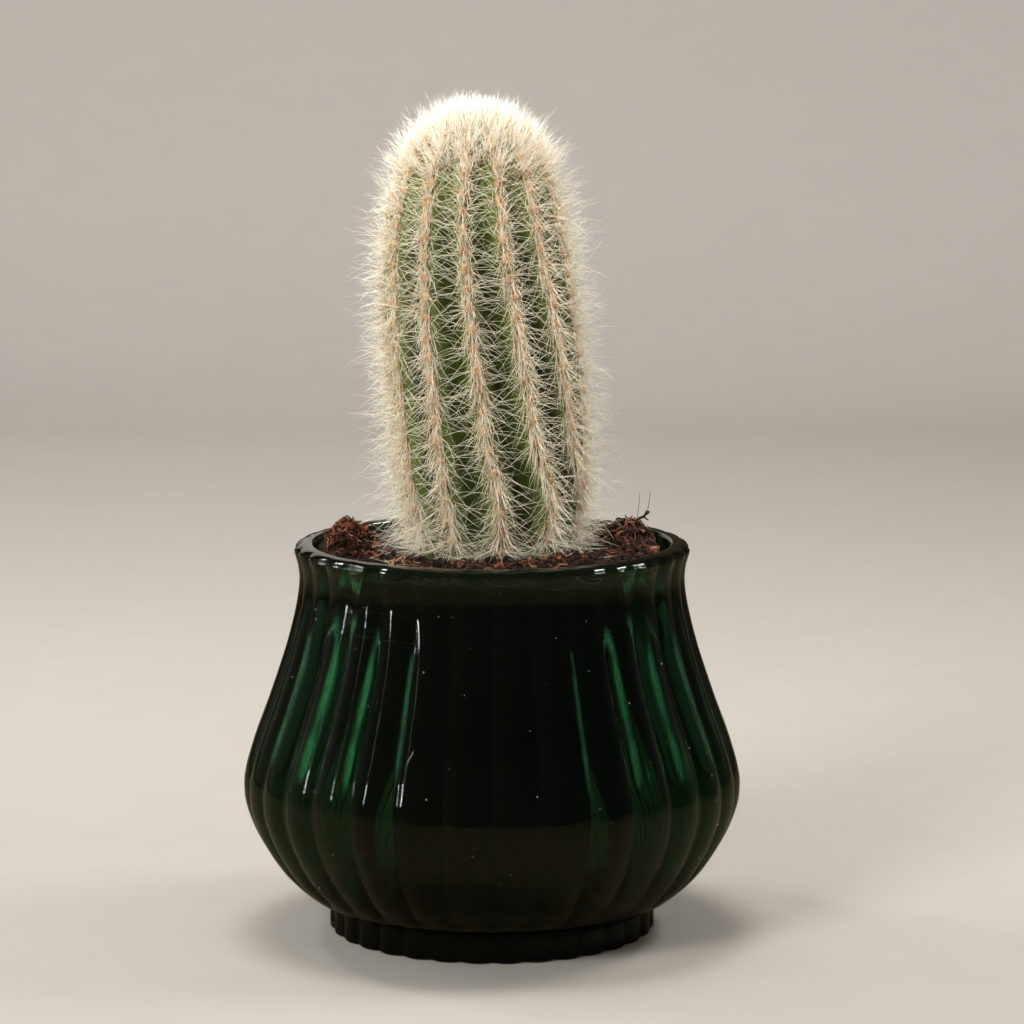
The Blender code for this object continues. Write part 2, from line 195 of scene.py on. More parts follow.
def map_range(tree, value, before, after):
    node = tree.nodes.new("ShaderNodeMapRange")
    link(tree, value, node.inputs["Value"])
    names = ("From Min", "From Max", "To Min", "To Max")
    for name, number in zip(names, before + after):
        node.inputs[name].default_value = number
    return node.outputs["Result"]


def add_math(tree, operation, first, second):
    """A math node. Its inputs are numbers or sockets, and its result is returned."""
    node = tree.nodes.new("ShaderNodeMath")
    node.operation = operation
    for socket, value in zip(node.inputs, (first, second)):
        if isinstance(value, (int, float)):
            socket.default_value = value
        else:
            link(tree, value, socket)
    return node.outputs[0]


def add_mix(tree, factor, first, second, blend="MIX"):
    """Mixes two colours. Each is a tuple or a socket."""
    node = tree.nodes.new("ShaderNodeMix")
    node.data_type = "RGBA"
    node.blend_type = blend
    for socket, value in ((node.inputs[0], factor), (node.inputs[6], first), (node.inputs[7], second)):
        if isinstance(value, (tuple, float)):
            socket.default_value = value
        else:
            link(tree, value, socket)
    return node.outputs[2]


def add_noise(tree, coordinates, scale, detail=2.0):
    node = tree.nodes.new("ShaderNodeTexNoise")
    node.inputs["Detail"].default_value = detail
    link(tree, coordinates, node.inputs["Vector"])
    if isinstance(scale, (int, float)):
        node.inputs["Scale"].default_value = scale
    else:
        link(tree, scale, node.inputs["Scale"])
    return node.outputs["Fac"]


def contrast(tree, value, low, high):
    """Spreads the values between low and high over 0 to 1."""
    node = tree.nodes.new("ShaderNodeMapRange")
    node.interpolation_type = "SMOOTHSTEP"
    node.inputs["From Min"].default_value = low
    node.inputs["From Max"].default_value = high
    link(tree, value, node.inputs["Value"])
    return node.outputs["Result"]


# %% [markdown]
# A material starts from the Principled shader. A colour that follows one value comes from a colour ramp.
# Values can be stored on the points of a mesh, such as how far along its bristle a point lies, and an
# Attribute node reads them again.

# %% Materials, colour ramps and stored values
def new_material(name, roughness=0.5):
    """A material with its node tree and its Principled shader."""
    made = bpy.data.materials.new(name)
    made.use_nodes = True
    surface = made.node_tree.nodes["Principled BSDF"]
    surface.inputs["Roughness"].default_value = roughness
    return made, made.node_tree, surface


def add_ramp(tree, value, stops):
    """Colours along a value. Stops are pairs of a position and a colour, in rising order."""
    node = tree.nodes.new("ShaderNodeValToRGB")
    elements = node.color_ramp.elements
    for element, (position, colour) in zip(elements, (stops[0], stops[-1])):
        element.position = position
        element.color = colour
    for position, colour in stops[1:-1]:
        elements.new(position).color = colour
    link(tree, value, node.inputs["Fac"])
    return node.outputs["Color"]


def stored(tree, name):
    node = tree.nodes.new("ShaderNodeAttribute")
    node.attribute_name = name
    return node.outputs["Fac"]


# %% [markdown]
# ## Light and floor
# Dark glass shows what stands round it more than its own colour. Its front stays nearly black only
# if the room in front of it is dark, so reflections see surroundings of their own: pale straight
# behind, dim at both sides and nearly dark in front. Everything else sees a plain pale room.

# %% Room seen in reflections
PALE_WALL = (0.40, 0.375, 0.35, 1)
MIRRORED_ROOM = (  # position from the front, 0, to the back, 1, and the colour there
    (0.45, (0.050, 0.055, 0.035, 1)),
    (0.72, (0.080, 0.085, 0.070, 1)),
    (0.88, (0.150, 0.145, 0.135, 1)),
    (0.97, (0.520, 0.495, 0.470, 1)),
)
LEFT_SHARE, RIGHT_SHARE = 1.35, 0.65  # the left is brighter

world = bpy.data.worlds.new("studio")
world.use_nodes = True
tree = world.node_tree
tree.nodes.clear()
direction = tree.nodes.new("ShaderNodeTexCoord").outputs["Generated"]
split = tree.nodes.new("ShaderNodeSeparateXYZ")
link(tree, direction, split.inputs[0])
mirrored = add_ramp(tree, map_range(tree, split.outputs["Y"], (-1, 1), (0, 1)), MIRRORED_ROOM)
sides = map_range(tree, split.outputs["X"], (-1, 1), (LEFT_SHARE, RIGHT_SHARE))

# %% [markdown]
# What is seen through the glass is a dim room with a low window at each side. The windows light the gap
# between the glass and the growing pot, which the lobes turn into green streaks. The cosine of the
# angle between a ray and a window, their dot product, tells how near the ray comes to it. Each window
# is a wide glow with a small bright one inside it.

# %% Windows seen through the glass
ROOM_THROUGH_GLASS = 0.13
WINDOWS = (  # direction, cosine at its edge and where it is full, and strength
    ((-0.960, 0.105, 0.259), (0.962, 0.996), 2.2),
    ((-0.977, 0.070, 0.200), (0.984, 0.999), 10.0),
    ((0.960, 0.105, 0.259), (0.965, 0.996), 1.2),
    ((0.977, 0.070, 0.200), (0.984, 0.999), 5.0),
)
DARKENS = (0.33, 0.52)  # upward part of the direction, from where it gets dark to where it is dark
SHARE_ABOVE = 0.12  # of the light, where it is dark

through = ROOM_THROUGH_GLASS
for towards, edges, bright in WINDOWS:
    facing = tree.nodes.new("ShaderNodeVectorMath")
    facing.operation = "DOT_PRODUCT"
    link(tree, direction, facing.inputs[0])
    facing.inputs[1].default_value = towards
    glow = contrast(tree, facing.outputs["Value"], *edges)
    through = add_math(tree, "ADD", add_math(tree, "MULTIPLY", glow, bright), through)
fade = map_range(tree, split.outputs["Z"], DARKENS, (1.0, SHARE_ABOVE))
through = add_math(tree, "MULTIPLY", through, fade)
print("windows:", len(WINDOWS))

# %% [markdown]
# The Light Path node tells which kind of ray meets the surroundings. A ray that has passed through glass
# counts as a transmission ray, but still as a glossy one too. So the answer for transmission rays is
# mixed in last. The other way round, the glass would only ever show the mirrored room.

# %% World
WHITE = (1, 1, 1, 1)

rays = tree.nodes.new("ShaderNodeLightPath")
colour = add_mix(tree, rays.outputs["Is Glossy Ray"], PALE_WALL, mirrored)
colour = add_mix(tree, rays.outputs["Is Transmission Ray"], colour, WHITE)
strength = add_mix(tree, rays.outputs["Is Glossy Ray"], WHITE, sides)
strength = add_mix(tree, rays.outputs["Is Transmission Ray"], strength, through)
sky = tree.nodes.new("ShaderNodeBackground")
link(tree, colour, sky.inputs["Color"])
link(tree, strength, sky.inputs["Strength"])
out = tree.nodes.new("ShaderNodeOutputWorld")
link(tree, sky.outputs[0], out.inputs["Surface"])
bpy.context.scene.world = world

# %% [markdown]
# Soft lamps above, in front and at both sides light the bristles. They show neither in reflections nor
# through the glass, where they would look like lit windows with hard edges.

# %% Soft lamps
NEUTRAL, COOL, WARM = (1.0, 0.99, 0.97), (0.95, 0.98, 1.0), (1.0, 0.93, 0.84)
MIDDLE = (0, 0, 0.13)


def lamp(name, place, target, width, height, power, colour, mirrored=False, along=None):
    """A soft rectangle that shines at the target. Its width lies level, or along the given direction."""
    data = bpy.data.lights.new(name, "AREA")
    data.shape = "RECTANGLE"
    data.size = width
    data.size_y = height
    data.energy = power
    data.color = colour
    obj = bpy.data.objects.new(name, data)
    obj.location = place
    back = (Vector(place) - Vector(target)).normalized()
    level = Vector((-back.y, back.x, 0)) if along is None else Vector(along)
    wide = (level - back * level.dot(back)).normalized()
    obj.rotation_euler = Matrix((wide, back.cross(wide), back)).transposed().to_euler()
    obj.visible_glossy = mirrored
    obj.visible_transmission = False
    obj.visible_camera = False
    bpy.context.scene.collection.objects.link(obj)
    print(f"lamp {name}: {power} W")


lamp("overhead", (-0.05, 0.10, 0.95), MIDDLE, 0.35, 0.35, 7.5, NEUTRAL)
lamp("left_soft", (-0.80, 0.20, 0.45), MIDDLE, 0.45, 0.6, 2.9, COOL)
lamp("right_soft", (0.82, 0.22, 0.42), MIDDLE, 0.45, 0.6, 1.1, WARM)
lamp("front_soft", (-0.62, -0.88, 0.74), MIDDLE, 0.4, 0.4, 17.0, NEUTRAL)

# %% [markdown]
# Small lamps do show in the glass, and each draws one kind of highlight. Two strips close at the left,
# a short one and a long faint one above it, draw a thin white line on every flute. A bar high at each
# side puts a short dash on each lobe of the rim. A wide dim panel behind draws the grey line along the
# top of the lip.

# %% Lamps for the highlights
RIM, LEFT_RIM = (0, 0, 0.09), (-0.038, -0.03, 0.093)
LEFT_BOWL, LEFT_ABOVE = (-0.02, -0.04, 0.10), (-0.02, -0.04, 0.186)
ALONG_LEFT_RIM = (0.048, -0.186, 0.165)

lamp("left_strip", (-0.285, -0.115, 0.100), LEFT_BOWL, 0.0045, 0.042, 0.026, NEUTRAL, True)
lamp("left_strip_top", (-0.285, -0.115, 0.186), LEFT_ABOVE, 0.0045, 0.13, 0.004, NEUTRAL, True)
lamp("rim_left", (-0.309, 0.194, 0.425), LEFT_RIM, 0.12, 0.045, 0.8, NEUTRAL, True, ALONG_LEFT_RIM)
lamp("rim_right", (0.32, 0.06, 0.40), RIM, 0.16, 0.06, 1.3, NEUTRAL, True)
lamp("panel_behind", (-0.26, 1.00, 0.33), RIM, 0.56, 0.28, 0.26, WARM, True)

# %% [markdown]
# The floor is pale, with painted shade: it is painted darker near the pot, where the lamps light it most.
# In reflections and through the glass it is painted darker and warmer, as painted shade, and the two kinds
# of ray are again mixed in that order.

# %% Floor finish
# Painted shade: the near colour is darker, to hold down the stronger lamp light near the pot.
FLOOR_NEAR_SHADED, FLOOR_FAR = (0.31, 0.29, 0.26, 1), (0.62, 0.59, 0.555, 1)
FLOOR_FADE = (0.1, 1.3)  # metres behind the pot, from the near colour to the far one
MOTTLES_PER_METRE = 60
MOTTLE = ((0.0, (0.94, 0.94, 0.94, 1)), (1.0, WHITE))
# Painted shade: the floor's colours for reflections and for rays through the glass.
FLOOR_MIRRORED_SHADE = (0.070, 0.060, 0.033, 1)
FLOOR_THROUGH_SHADE = (0.035, 0.036, 0.018, 1)

floor_material, tree, shader = new_material("pale_floor", 0.8)
shader.inputs["Specular IOR Level"].default_value = 0.2
place = tree.nodes.new("ShaderNodeTexCoord").outputs["Object"]
split = tree.nodes.new("ShaderNodeSeparateXYZ")
link(tree, place, split.inputs[0])
near_shaded_paint = add_mix(tree, map_range(tree, split.outputs["Y"], FLOOR_FADE, (0, 1)), FLOOR_NEAR_SHADED, FLOOR_FAR)
tint = add_ramp(tree, add_noise(tree, place, MOTTLES_PER_METRE), MOTTLE)
seen = add_mix(tree, 1.0, near_shaded_paint, tint, "MULTIPLY")
rays = tree.nodes.new("ShaderNodeLightPath")
seen = add_mix(tree, rays.outputs["Is Glossy Ray"], seen, FLOOR_MIRRORED_SHADE)
seen = add_mix(tree, rays.outputs["Is Transmission Ray"], seen, FLOOR_THROUGH_SHADE)
link(tree, seen, shader.inputs["Base Color"])

# %% [markdown]
# The floor curves up into a backdrop far behind, so that no line crosses the picture. It ends not far
# in front of the pot, because the low part of the glass shows where the surface that it stands on stops.

# %% Floor and backdrop
FLOOR_FRONT = -0.48
FLOOR_SIDE = 1.6
FLOOR_EDGE = 0.02
SWEEP_START = 1.0
SWEEP_RADIUS = 0.5
SWEEP_STEPS = 25
LEVEL_STRIP = 0.01  # a narrow strip before the curve, so that the shading of the floor stays level
BACKDROP_TOP = 1.6

turn = np.linspace(0, math.pi / 2, SWEEP_STEPS)
sweep = [(FLOOR_FRONT, -FLOOR_EDGE), (FLOOR_FRONT, 0.0), (SWEEP_START - LEVEL_STRIP, 0.0)]
sweep += [(SWEEP_START + SWEEP_RADIUS * math.sin(a), SWEEP_RADIUS * (1 - math.cos(a))) for a in turn]
sweep += [(SWEEP_START + SWEEP_RADIUS, BACKDROP_TOP)]
floor_points = [(x, y, z) for y, z in sweep for x in (-FLOOR_SIDE, FLOOR_SIDE)]
floor_faces = [(i, i + 1, i + 3, i + 2) for i in range(0, len(floor_points) - 2, 2)]
floor_mesh = bpy.data.meshes.new("floor")
floor_mesh.from_pydata(floor_points, [], floor_faces)
floor_mesh.shade_smooth()
floor_mesh.set_sharp_from_angle(angle=math.radians(30))
floor_mesh.materials.append(floor_material)
floor = bpy.data.objects.new("floor", floor_mesh)
bpy.context.scene.collection.objects.link(floor)
print("floor faces:", len(floor_faces))

# %% [markdown]
# ## Shared shader groups
# Two effects come back in several finishes, so each is a node group, built once and given its own
# values in every material. The first mixes two colours by coarse and fine noise, because peat, felt
# and the skin of a plant all vary at more than one scale.

# %% Mottled colour
MOST_NOISE = (0.3, 0.7)  # nearly all values of a noise lie between these
COARSE_SHARE = 0.55


def new_group(name, inputs, outputs):
    """A node group with its named sockets, and its input and output nodes."""
    group = bpy.data.node_groups.new(name, "ShaderNodeTree")
    for label, kind, value in inputs:
        socket = group.interface.new_socket(label, in_out="INPUT", socket_type=kind)
        if value is not None:
            socket.default_value = value
    for label, kind in outputs:
        group.interface.new_socket(label, in_out="OUTPUT", socket_type=kind)
    return group, group.nodes.new("NodeGroupInput"), group.nodes.new("NodeGroupOutput")


mottled, start, end = new_group(
    "mottled",
    [
        ("Dark", "NodeSocketColor", None), ("Pale", "NodeSocketColor", None),
        ("Coarse", "NodeSocketFloat", 120.0), ("Fine", "NodeSocketFloat", 900.0),
    ],
    [("Color", "NodeSocketColor"), ("Grain", "NodeSocketFloat")],
)
space = mottled.nodes.new("ShaderNodeTexCoord").outputs["Object"]
coarse = contrast(mottled, add_noise(mottled, space, start.outputs["Coarse"]), *MOST_NOISE)
fine = contrast(mottled, add_noise(mottled, space, start.outputs["Fine"], 4.0), *MOST_NOISE)
coarse_part = add_math(mottled, "MULTIPLY", coarse, COARSE_SHARE)
fine_part = add_math(mottled, "MULTIPLY", fine, 1 - COARSE_SHARE)
both = add_math(mottled, "ADD", coarse_part, fine_part)
link(mottled, add_mix(mottled, both, start.outputs["Dark"], start.outputs["Pale"]), end.inputs["Color"])
link(mottled, fine, end.inputs["Grain"])
print("group:", mottled.name, len(mottled.nodes), "nodes")

# %% [markdown]
# The second gives a roughness that rises in faint smudges and specks, as on anything that has been
# handled and has gathered dust.

# %% Handled surface
# Values of the noise where smudges and specks begin, and where they are full
SMUDGE_EDGES, SPECK_EDGES = (0.52, 0.75), (0.74, 0.80)

handled, start, end = new_group(
    "handled",
    [
        ("Clean", "NodeSocketFloat", 0.02), ("Smudged", "NodeSocketFloat", 0.2),
        ("Smudges", "NodeSocketFloat", 45.0), ("Specks", "NodeSocketFloat", 1500.0),
    ],
    [("Roughness", "NodeSocketFloat"), ("Dust", "NodeSocketFloat")],
)
space = handled.nodes.new("ShaderNodeTexCoord").outputs["Object"]
smudge = contrast(handled, add_noise(handled, space, start.outputs["Smudges"], 5.0), *SMUDGE_EDGES)
speck = contrast(handled, add_noise(handled, space, start.outputs["Specks"], 0.0), *SPECK_EDGES)
dust = add_math(handled, "MAXIMUM", smudge, speck)
rise = add_math(handled, "SUBTRACT", start.outputs["Smudged"], start.outputs["Clean"])
rough = add_math(handled, "ADD", start.outputs["Clean"], add_math(handled, "MULTIPLY", dust, rise))
link(handled, rough, end.inputs["Roughness"])
link(handled, dust, end.inputs["Dust"])
print("group:", handled.name, len(handled.nodes), "nodes")


# %% Placing a group and a bump
def use_group(tree, group, **values):
    """Places a group in a material, with its own values on the sockets."""
    node = tree.nodes.new("ShaderNodeGroup")
    node.node_tree = group
    for key, value in values.items():
        node.inputs[key].default_value = value
    return node


def add_bump(tree, height, strength, distance, surface):
    bump = tree.nodes.new("ShaderNodeBump")
    bump.inputs["Strength"].default_value = strength
    bump.inputs["Distance"].default_value = distance
    link(tree, height, bump.inputs["Height"])
    link(tree, bump.outputs["Normal"], surface.inputs["Normal"])


# %% [markdown]
# ## The glass pot
# The glass was pressed in a mould: 32 convex lobes run from under the lip to the bottom of the bowl,
# with a narrow crease between each two. A turned outline gives the body, and each ring of points is
# then drawn in towards the creases. The same formula as in the model is used, with many more points
# and with the creases slightly rounded. Where the lobes end, above the foot, each closes in an arc.

# %% Glass outlines
LOBES = 32
ACROSS_LOBE = (0.0, 0.28, 0.52, 0.72, 0.86, 0.95)  # points from the crest to the crease, which is 1
RIM_HEIGHT = 94.4 * MM
CURVE_POINTS = 5

# Outside from the recess under the foot up to the lip, as (radius, height) in millimetres
GLASS_OUTSIDE = [
    (31.4, 1.5), (32.3, 0.5), (33.6, 0), (36, 0), (38.0, 0), (39.1, 0.4), (39.4, 1.2), (39.4, 4),
    (39.4, 6.3), (39.9, 7.2), (41.2, 7.8), (43.6, 8.7),
    (47.6, 11.8), (52.2, 16.7), (56.6, 23.6), (59.3, 30.5), (60.0, 35.5), (59.6, 40), (57.6, 47),
    (53.9, 57), (49.9, 69), (47.4, 78.5), (46.4, 85), (46.6, 89), (47.5, 92.4),
]
LIP = [
    (47.4, 93.0), (46.95, 93.7), (46.1, 94.15), (45.0, 94.32), (43.8, 94.38), (43.0, 94.15),
    (42.65, 93.4),
]
GLASS_INSIDE = [
    (42.75, 92.0), (43.0, 85), (43.9, 78.5), (46.0, 69), (49.2, 59), (52.6, 50), (55.0, 42),
    (55.8, 36), (55.2, 30), (52.8, 23.5), (48.5, 17.5), (42.0, 12.4), (37.5, 10.5), (33, 10),
    (20, 10), (8, 10),
]

glass_curve = smooth_curve(GLASS_OUTSIDE + LIP + GLASS_INSIDE, CURVE_POINTS) * MM
glass_curve[:, 1] = np.clip(glass_curve[:, 1], 0, RIM_HEIGHT)
lip_start = (len(GLASS_OUTSIDE) - 1) * CURVE_POINTS
lip_top = lip_start + 4 * CURVE_POINTS
print("glass levels:", len(glass_curve))

# %% [markdown]
# A lobe is a parabola across, so two of them meet in a sharp crease, which is rounded a little. Its
# depth is full over the bowl, smaller at the rim, and its own on the foot.

# %% Lobes and creases
BODY_LOBE_DEPTH = 1.15 * MM
RIM_LOBE_DEPTH = 0.60 * MM
FOOT_LOBE_DEPTH = 1.25 * MM
LOBES_BEGIN = (9.5 * MM, 12.5 * MM)
LOBES_FLATTEN = (66 * MM, 90 * MM)
CREASE_ROUNDING = 0.10  # share of half a lobe


def lobe_depth(height):
    """How deep the creases of the body are at this height."""
    towards_rim = smooth_step(height, *LOBES_FLATTEN)
    above_foot = smooth_step(height, *LOBES_BEGIN)
    return above_foot * between((BODY_LOBE_DEPTH, RIM_LOBE_DEPTH), towards_rim)


def crease(across):
    """0 on the crest of a lobe and 1 in the crease, as a parabola that levels out at its end."""
    corner = 1 - CREASE_ROUNDING
    beyond = np.maximum(across - corner, 0)
    rounded = corner**2 + 2 * corner * beyond - corner * beyond**2 / CREASE_ROUNDING
    return np.where(across < corner, across**2, rounded) / corner


# %% Outside of the glass
FOOT_TOP = 7.0 * MM
FOOT_LOBES_END = (5.5 * MM, 7.0 * MM)
FOOT_LOBES_RADIUS = (35.0 * MM, 37.5 * MM)  # the flat ring that the pot stands on stays round

half = np.array(ACROSS_LOBE)
lobe = np.concatenate([half, [1.0], 2 - half[:0:-1]]) / 2
steps = LOBES * len(lobe)
azimuth = (np.arange(LOBES)[:, None] + 0.5 + lobe).ravel() * math.tau / LOBES
across = np.tile(np.concatenate([half, [1.0], half[:0:-1]]), LOBES)
order = np.arange(len(glass_curve))[:, None]
radius = np.repeat(glass_curve[:, :1], steps, axis=1)
height = np.repeat(glass_curve[:, 1:], steps, axis=1)

foot = (order < lip_start) & (height < FOOT_TOP)
body = (order < lip_top + CURVE_POINTS) & (height >= FOOT_TOP)
over_lip = 1 - smooth_step(order, lip_start + 2 * CURVE_POINTS, lip_top + CURVE_POINTS)
radius = radius - np.where(body, over_lip * lobe_depth(height) * crease(across), 0)
foot_depth = FOOT_LOBE_DEPTH * smooth_step(radius, *FOOT_LOBES_RADIUS)
foot_depth = foot_depth * (1 - smooth_step(height, *FOOT_LOBES_END))
radius = radius - np.where(foot, foot_depth * crease(across), 0)
print("widest radius, mm:", round(float(radius.max()) / MM, 2))

# %% [markdown]
# The plunger that pressed the inside left it faintly fluted and wavy too, and that is what breaks the
# light behind the glass into jagged streaks.

# %% Waves inside the glass
INSIDE_LOBES, INSIDE_WAVES = 0.34 * MM, 0.22 * MM
WAVES_BEGIN, WAVES_END = (14 * MM, 20 * MM), (72 * MM, 80 * MM)  # below the growing pot's collar
WAVES_ROUND, WAVES_UP = 6.05, 18  # how fast the noise changes on the way round, and up

inside = order > lip_top + 2 * CURVE_POINTS
wavy = smooth_step(height, *WAVES_BEGIN) * (1 - smooth_step(height, *WAVES_END)) * inside
spots = np.stack([np.sin(azimuth), -np.cos(azimuth)], axis=-1) * WAVES_ROUND
waves = np.array([
    [noise.noise(Vector((x, y, h * WAVES_UP))) for x, y in spots] if inner else np.zeros(steps)
    for h, inner in zip(glass_curve[:, 1], inside[:, 0])
])
radius = radius + wavy * (INSIDE_LOBES * crease(across) + INSIDE_WAVES * waves)
glass_rings = np.stack([radius * np.sin(azimuth), -radius * np.cos(azimuth), height], axis=-1)
glass_points = np.vstack([
    glass_rings.reshape(-1, 3), [(0, 0, glass_curve[0, 1])], [(0, 0, glass_curve[-1, 1])],
])

# %% [markdown]
# Bottle glass gets its colour from its thickness: light loses red and blue on its way through. So the
# surface itself stays clear and smooth, and a volume inside it takes the light away. A faint haze of
# dust and finger marks makes it less than perfect.

# %% Glass material
BOTTLE_GREEN = (0.0, 0.43, 0.19, 1)  # a share of 1 isn't absorbed at all, and 0 at the full density
ABSORPTION_DENSITY = 490
STREAK = (0.86, 0.95, 0.88, 1)

glass, tree, shader = new_material("bottle_green_glass")
shader.inputs["Transmission Weight"].default_value = 1.0
shader.inputs["IOR"].default_value = 1.5
shader.inputs["Specular IOR Level"].default_value = 0.32
marks = use_group(tree, handled, Clean=0.004, Smudged=0.11, Smudges=40.0, Specks=1300.0)
link(tree, marks.outputs["Roughness"], shader.inputs["Roughness"])
streaks = use_group(tree, mottled, Dark=STREAK, Pale=WHITE, Coarse=25.0, Fine=90.0)
link(tree, streaks.outputs["Color"], shader.inputs["Base Color"])
absorb = tree.nodes.new("ShaderNodeVolumeAbsorption")
absorb.inputs["Color"].default_value = BOTTLE_GREEN
absorb.inputs["Density"].default_value = ABSORPTION_DENSITY
link(tree, absorb.outputs[0], tree.nodes["Material Output"].inputs["Volume"])
glass_faces = ring_faces(len(glass_curve), steps)
make_piece("glass_vessel", glass_points, glass_faces, glass, "glass_pot")

# %% [markdown]
# ## The growing pot
# Inside the glass stands a thin black plastic pot, which shows only as a dark core behind the green.
# Its shape is right in the model, so the model's own piece stays, and gets a finish of satin plastic
# that is scuffed and dusted with soil.

# %% Growing pot finish
PLASTIC, DUSTY_PLASTIC = (0.008, 0.008, 0.007, 1), (0.020, 0.017, 0.013, 1)

plastic, tree, shader = new_material("growing_pot_plastic")
shader.inputs["Specular IOR Level"].default_value = 0.03
marks = use_group(tree, handled, Clean=0.62, Smudged=0.85, Smudges=90.0, Specks=900.0)
link(tree, marks.outputs["Roughness"], shader.inputs["Roughness"])
tint = add_mix(tree, marks.outputs["Dust"], PLASTIC, DUSTY_PLASTIC)
link(tree, tint, shader.inputs["Base Color"])
growing_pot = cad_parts["nursery_pot"]
growing_pot.data.materials.clear()
growing_pot.data.materials.append(plastic)
print("finish on", growing_pot.name)

# %% [markdown]
# ## Soil
# Peat lies in lumps, with a heap at the right and a smaller one at the left. The height formula is the
# model's, and two finer layers of noise are added to it. The solid below is a plug in the growing pot
# with a round hole for the stem.

# %% Soil heights
SOIL_LEVEL = 91.6 * MM
SOIL_RADIUS = 42.3 * MM
SOIL_LUMPS = 1.1 * MM
LUMPS_PER_METRE = 170
SOIL_EDGE = (37.5 * MM, 42.5 * MM)
EDGE_FALL = (1.2 * MM, 4.2 * MM)  # at the left, and at the right
HEAPS = [  # x, y, rise, and how wide and how deep, all in millimetres
    (33, 6, 6.6, 8, 11), (22, -22, 2.2, 9, 8), (-34.5, 11, 5.6, 5.5, 7), (-39, 4, 2.6, 5, 6),
    (0, -30, 1.6, 16, 8), (-8, 36, 1.6, 22, 8),
]
CRUMB_NOISE = ((520, 0.55 * MM), (1500, 0.28 * MM))
STEM_START_X = 0.9 * MM
SOCKET = 18 * MM + GAP


def soil_height(x, y, crumbly=False):
    """Height of the soil: heaps and lumps, lower along its edge, and crumbly where that is asked for."""
    level = SOIL_LEVEL
    for hx, hy, rise, wide, deep in HEAPS:
        level += rise * MM * math.exp(-(((x / MM - hx) / wide) ** 2 + ((y / MM - hy) / deep) ** 2))
    spot = Vector((x, y, 0))
    level += SOIL_LUMPS * noise.noise(spot * LUMPS_PER_METRE)
    if crumbly:
        for per_metre, size in CRUMB_NOISE:
            level += size * noise.noise(spot * per_metre)
    edge = float(smooth_step(math.hypot(x, y), *SOIL_EDGE))
    rightwards = float(smooth_step(x, 0, SOIL_RADIUS))
    return level - edge * between(EDGE_FALL, rightwards)


# %% [markdown]
# The soil is made of rings like the glass. They run up the inside of the growing pot, out over its rim,
# in over the lumpy top, and down into the hole for the stem.

# %% Soil mesh
SOIL_STEPS = 240
TOP_RINGS = 48
NURSERY_INSIDE = [(41.2, 82.0), (39.2, 74.0), (29.2, 11.4)]  # inner side of the growing pot, 0.3 mm in
OVER_RIM = 82.9 * MM
STEM_FOOT = 80 * MM
SOCKET_FLOOR = STEM_FOOT - GAP

azimuth = math.tau * np.arange(SOIL_STEPS) / SOIL_STEPS
circle = np.stack([np.sin(azimuth), -np.cos(azimuth)], axis=-1)


def ring_at(radius, height, shift=0.0):
    ring = np.empty((SOIL_STEPS, 3))
    ring[:, :2] = circle * radius
    ring[:, 0] += shift
    ring[:, 2] = height
    return ring


plug = [(r * MM, z * MM) for r, z in reversed(NURSERY_INSIDE)]
soil_rings = [ring_at(plug[0][0] * 0.5, plug[0][1])] + [ring_at(r, z) for r, z in plug]
soil_rings += [ring_at(plug[-1][0], OVER_RIM), ring_at(SOIL_RADIUS, OVER_RIM)]
for share in np.linspace(1, 0, TOP_RINGS):
    ring = ring_at(SOCKET + (SOIL_RADIUS - SOCKET) * share, 0, STEM_START_X * (1 - share))
    ring[:, 2] = [soil_height(x, y, 0 < share < 1) for x, y, _ in ring]
    soil_rings.append(ring)
soil_rings += [ring_at(radius, SOCKET_FLOOR, STEM_START_X) for radius in (SOCKET, SOCKET / 2)]
soil_points = np.vstack([
    np.concatenate(soil_rings), [(0, 0, plug[0][1])], [(STEM_START_X, 0, SOCKET_FLOOR)],
])

# %% Soil material
PEAT_DARK, PEAT_PALE = (0.003, 0.002, 0.0015, 1), (0.022, 0.010, 0.006, 1)

peat, tree, shader = new_material("peat", 0.95)
earth = use_group(tree, mottled, Dark=PEAT_DARK, Pale=PEAT_PALE, Coarse=260.0, Fine=1400.0)
link(tree, earth.outputs["Color"], shader.inputs["Base Color"])
add_bump(tree, earth.outputs["Grain"], 0.6, 0.0004, shader)
soil_faces = ring_faces(len(soil_rings), SOIL_STEPS)
make_piece("soil_bed", soil_points, soil_faces, peat, "soil")

# %% [markdown]
# Loose crumbs of peat lie on the bed. Each is a small ball with every point pushed in or out by
# chance, which is enough at this size. The small ones have 20 faces and the large ones 80.

# %% Small lumps
draw = np.random.default_rng(11)


def ball_points(subdivisions):
    """A ball of 12 points and 20 faces, or of 42 points and 80 faces with 2 subdivisions."""
    shape = bmesh.new()
    bmesh.ops.create_icosphere(shape, subdivisions=subdivisions, radius=1.0)
    points = np.array([v.co[:] for v in shape.verts])
    faces = np.array([[v.index for v in f.verts] for f in shape.faces])
    shape.free()
    return points, faces


def lumps(places, sizes, subdivisions, uneven, stretch=None):
    """Uneven balls in one mesh, with each one's own axes and stretch along them."""
    ball, ball_faces = ball_points(subdivisions)
    count = len(places)
    shape = ball * (1 + draw.normal(0, uneven, (count, len(ball), 1))) * np.reshape(sizes, (-1, 1, 1))
    if stretch is not None:
        first = unit(draw.normal(0, 1, (count, 3)))
        second = unit(np.cross(first, draw.normal(0, 1, (count, 3))))
        axes = np.stack([first, second, np.cross(first, second)], axis=1)
        shape = (shape * np.array(stretch)) @ axes
    faces = ball_faces + (np.arange(count) * len(ball))[:, None, None]
    return places[:, None] + shape, faces.reshape(-1, 3).tolist()


def on_soil(count, inner=20.5 * MM, outer=38.0 * MM):
    """Places spread evenly over the visible ring of soil."""
    angle = draw.uniform(0, math.tau, count)
    distance = np.sqrt(draw.uniform(inner**2, outer**2, count))
    x, y = distance * np.sin(angle), -distance * np.cos(angle)
    z = np.array([soil_height(a, b, True) for a, b in zip(x, y)])
    return np.stack([x, y, z], axis=-1)


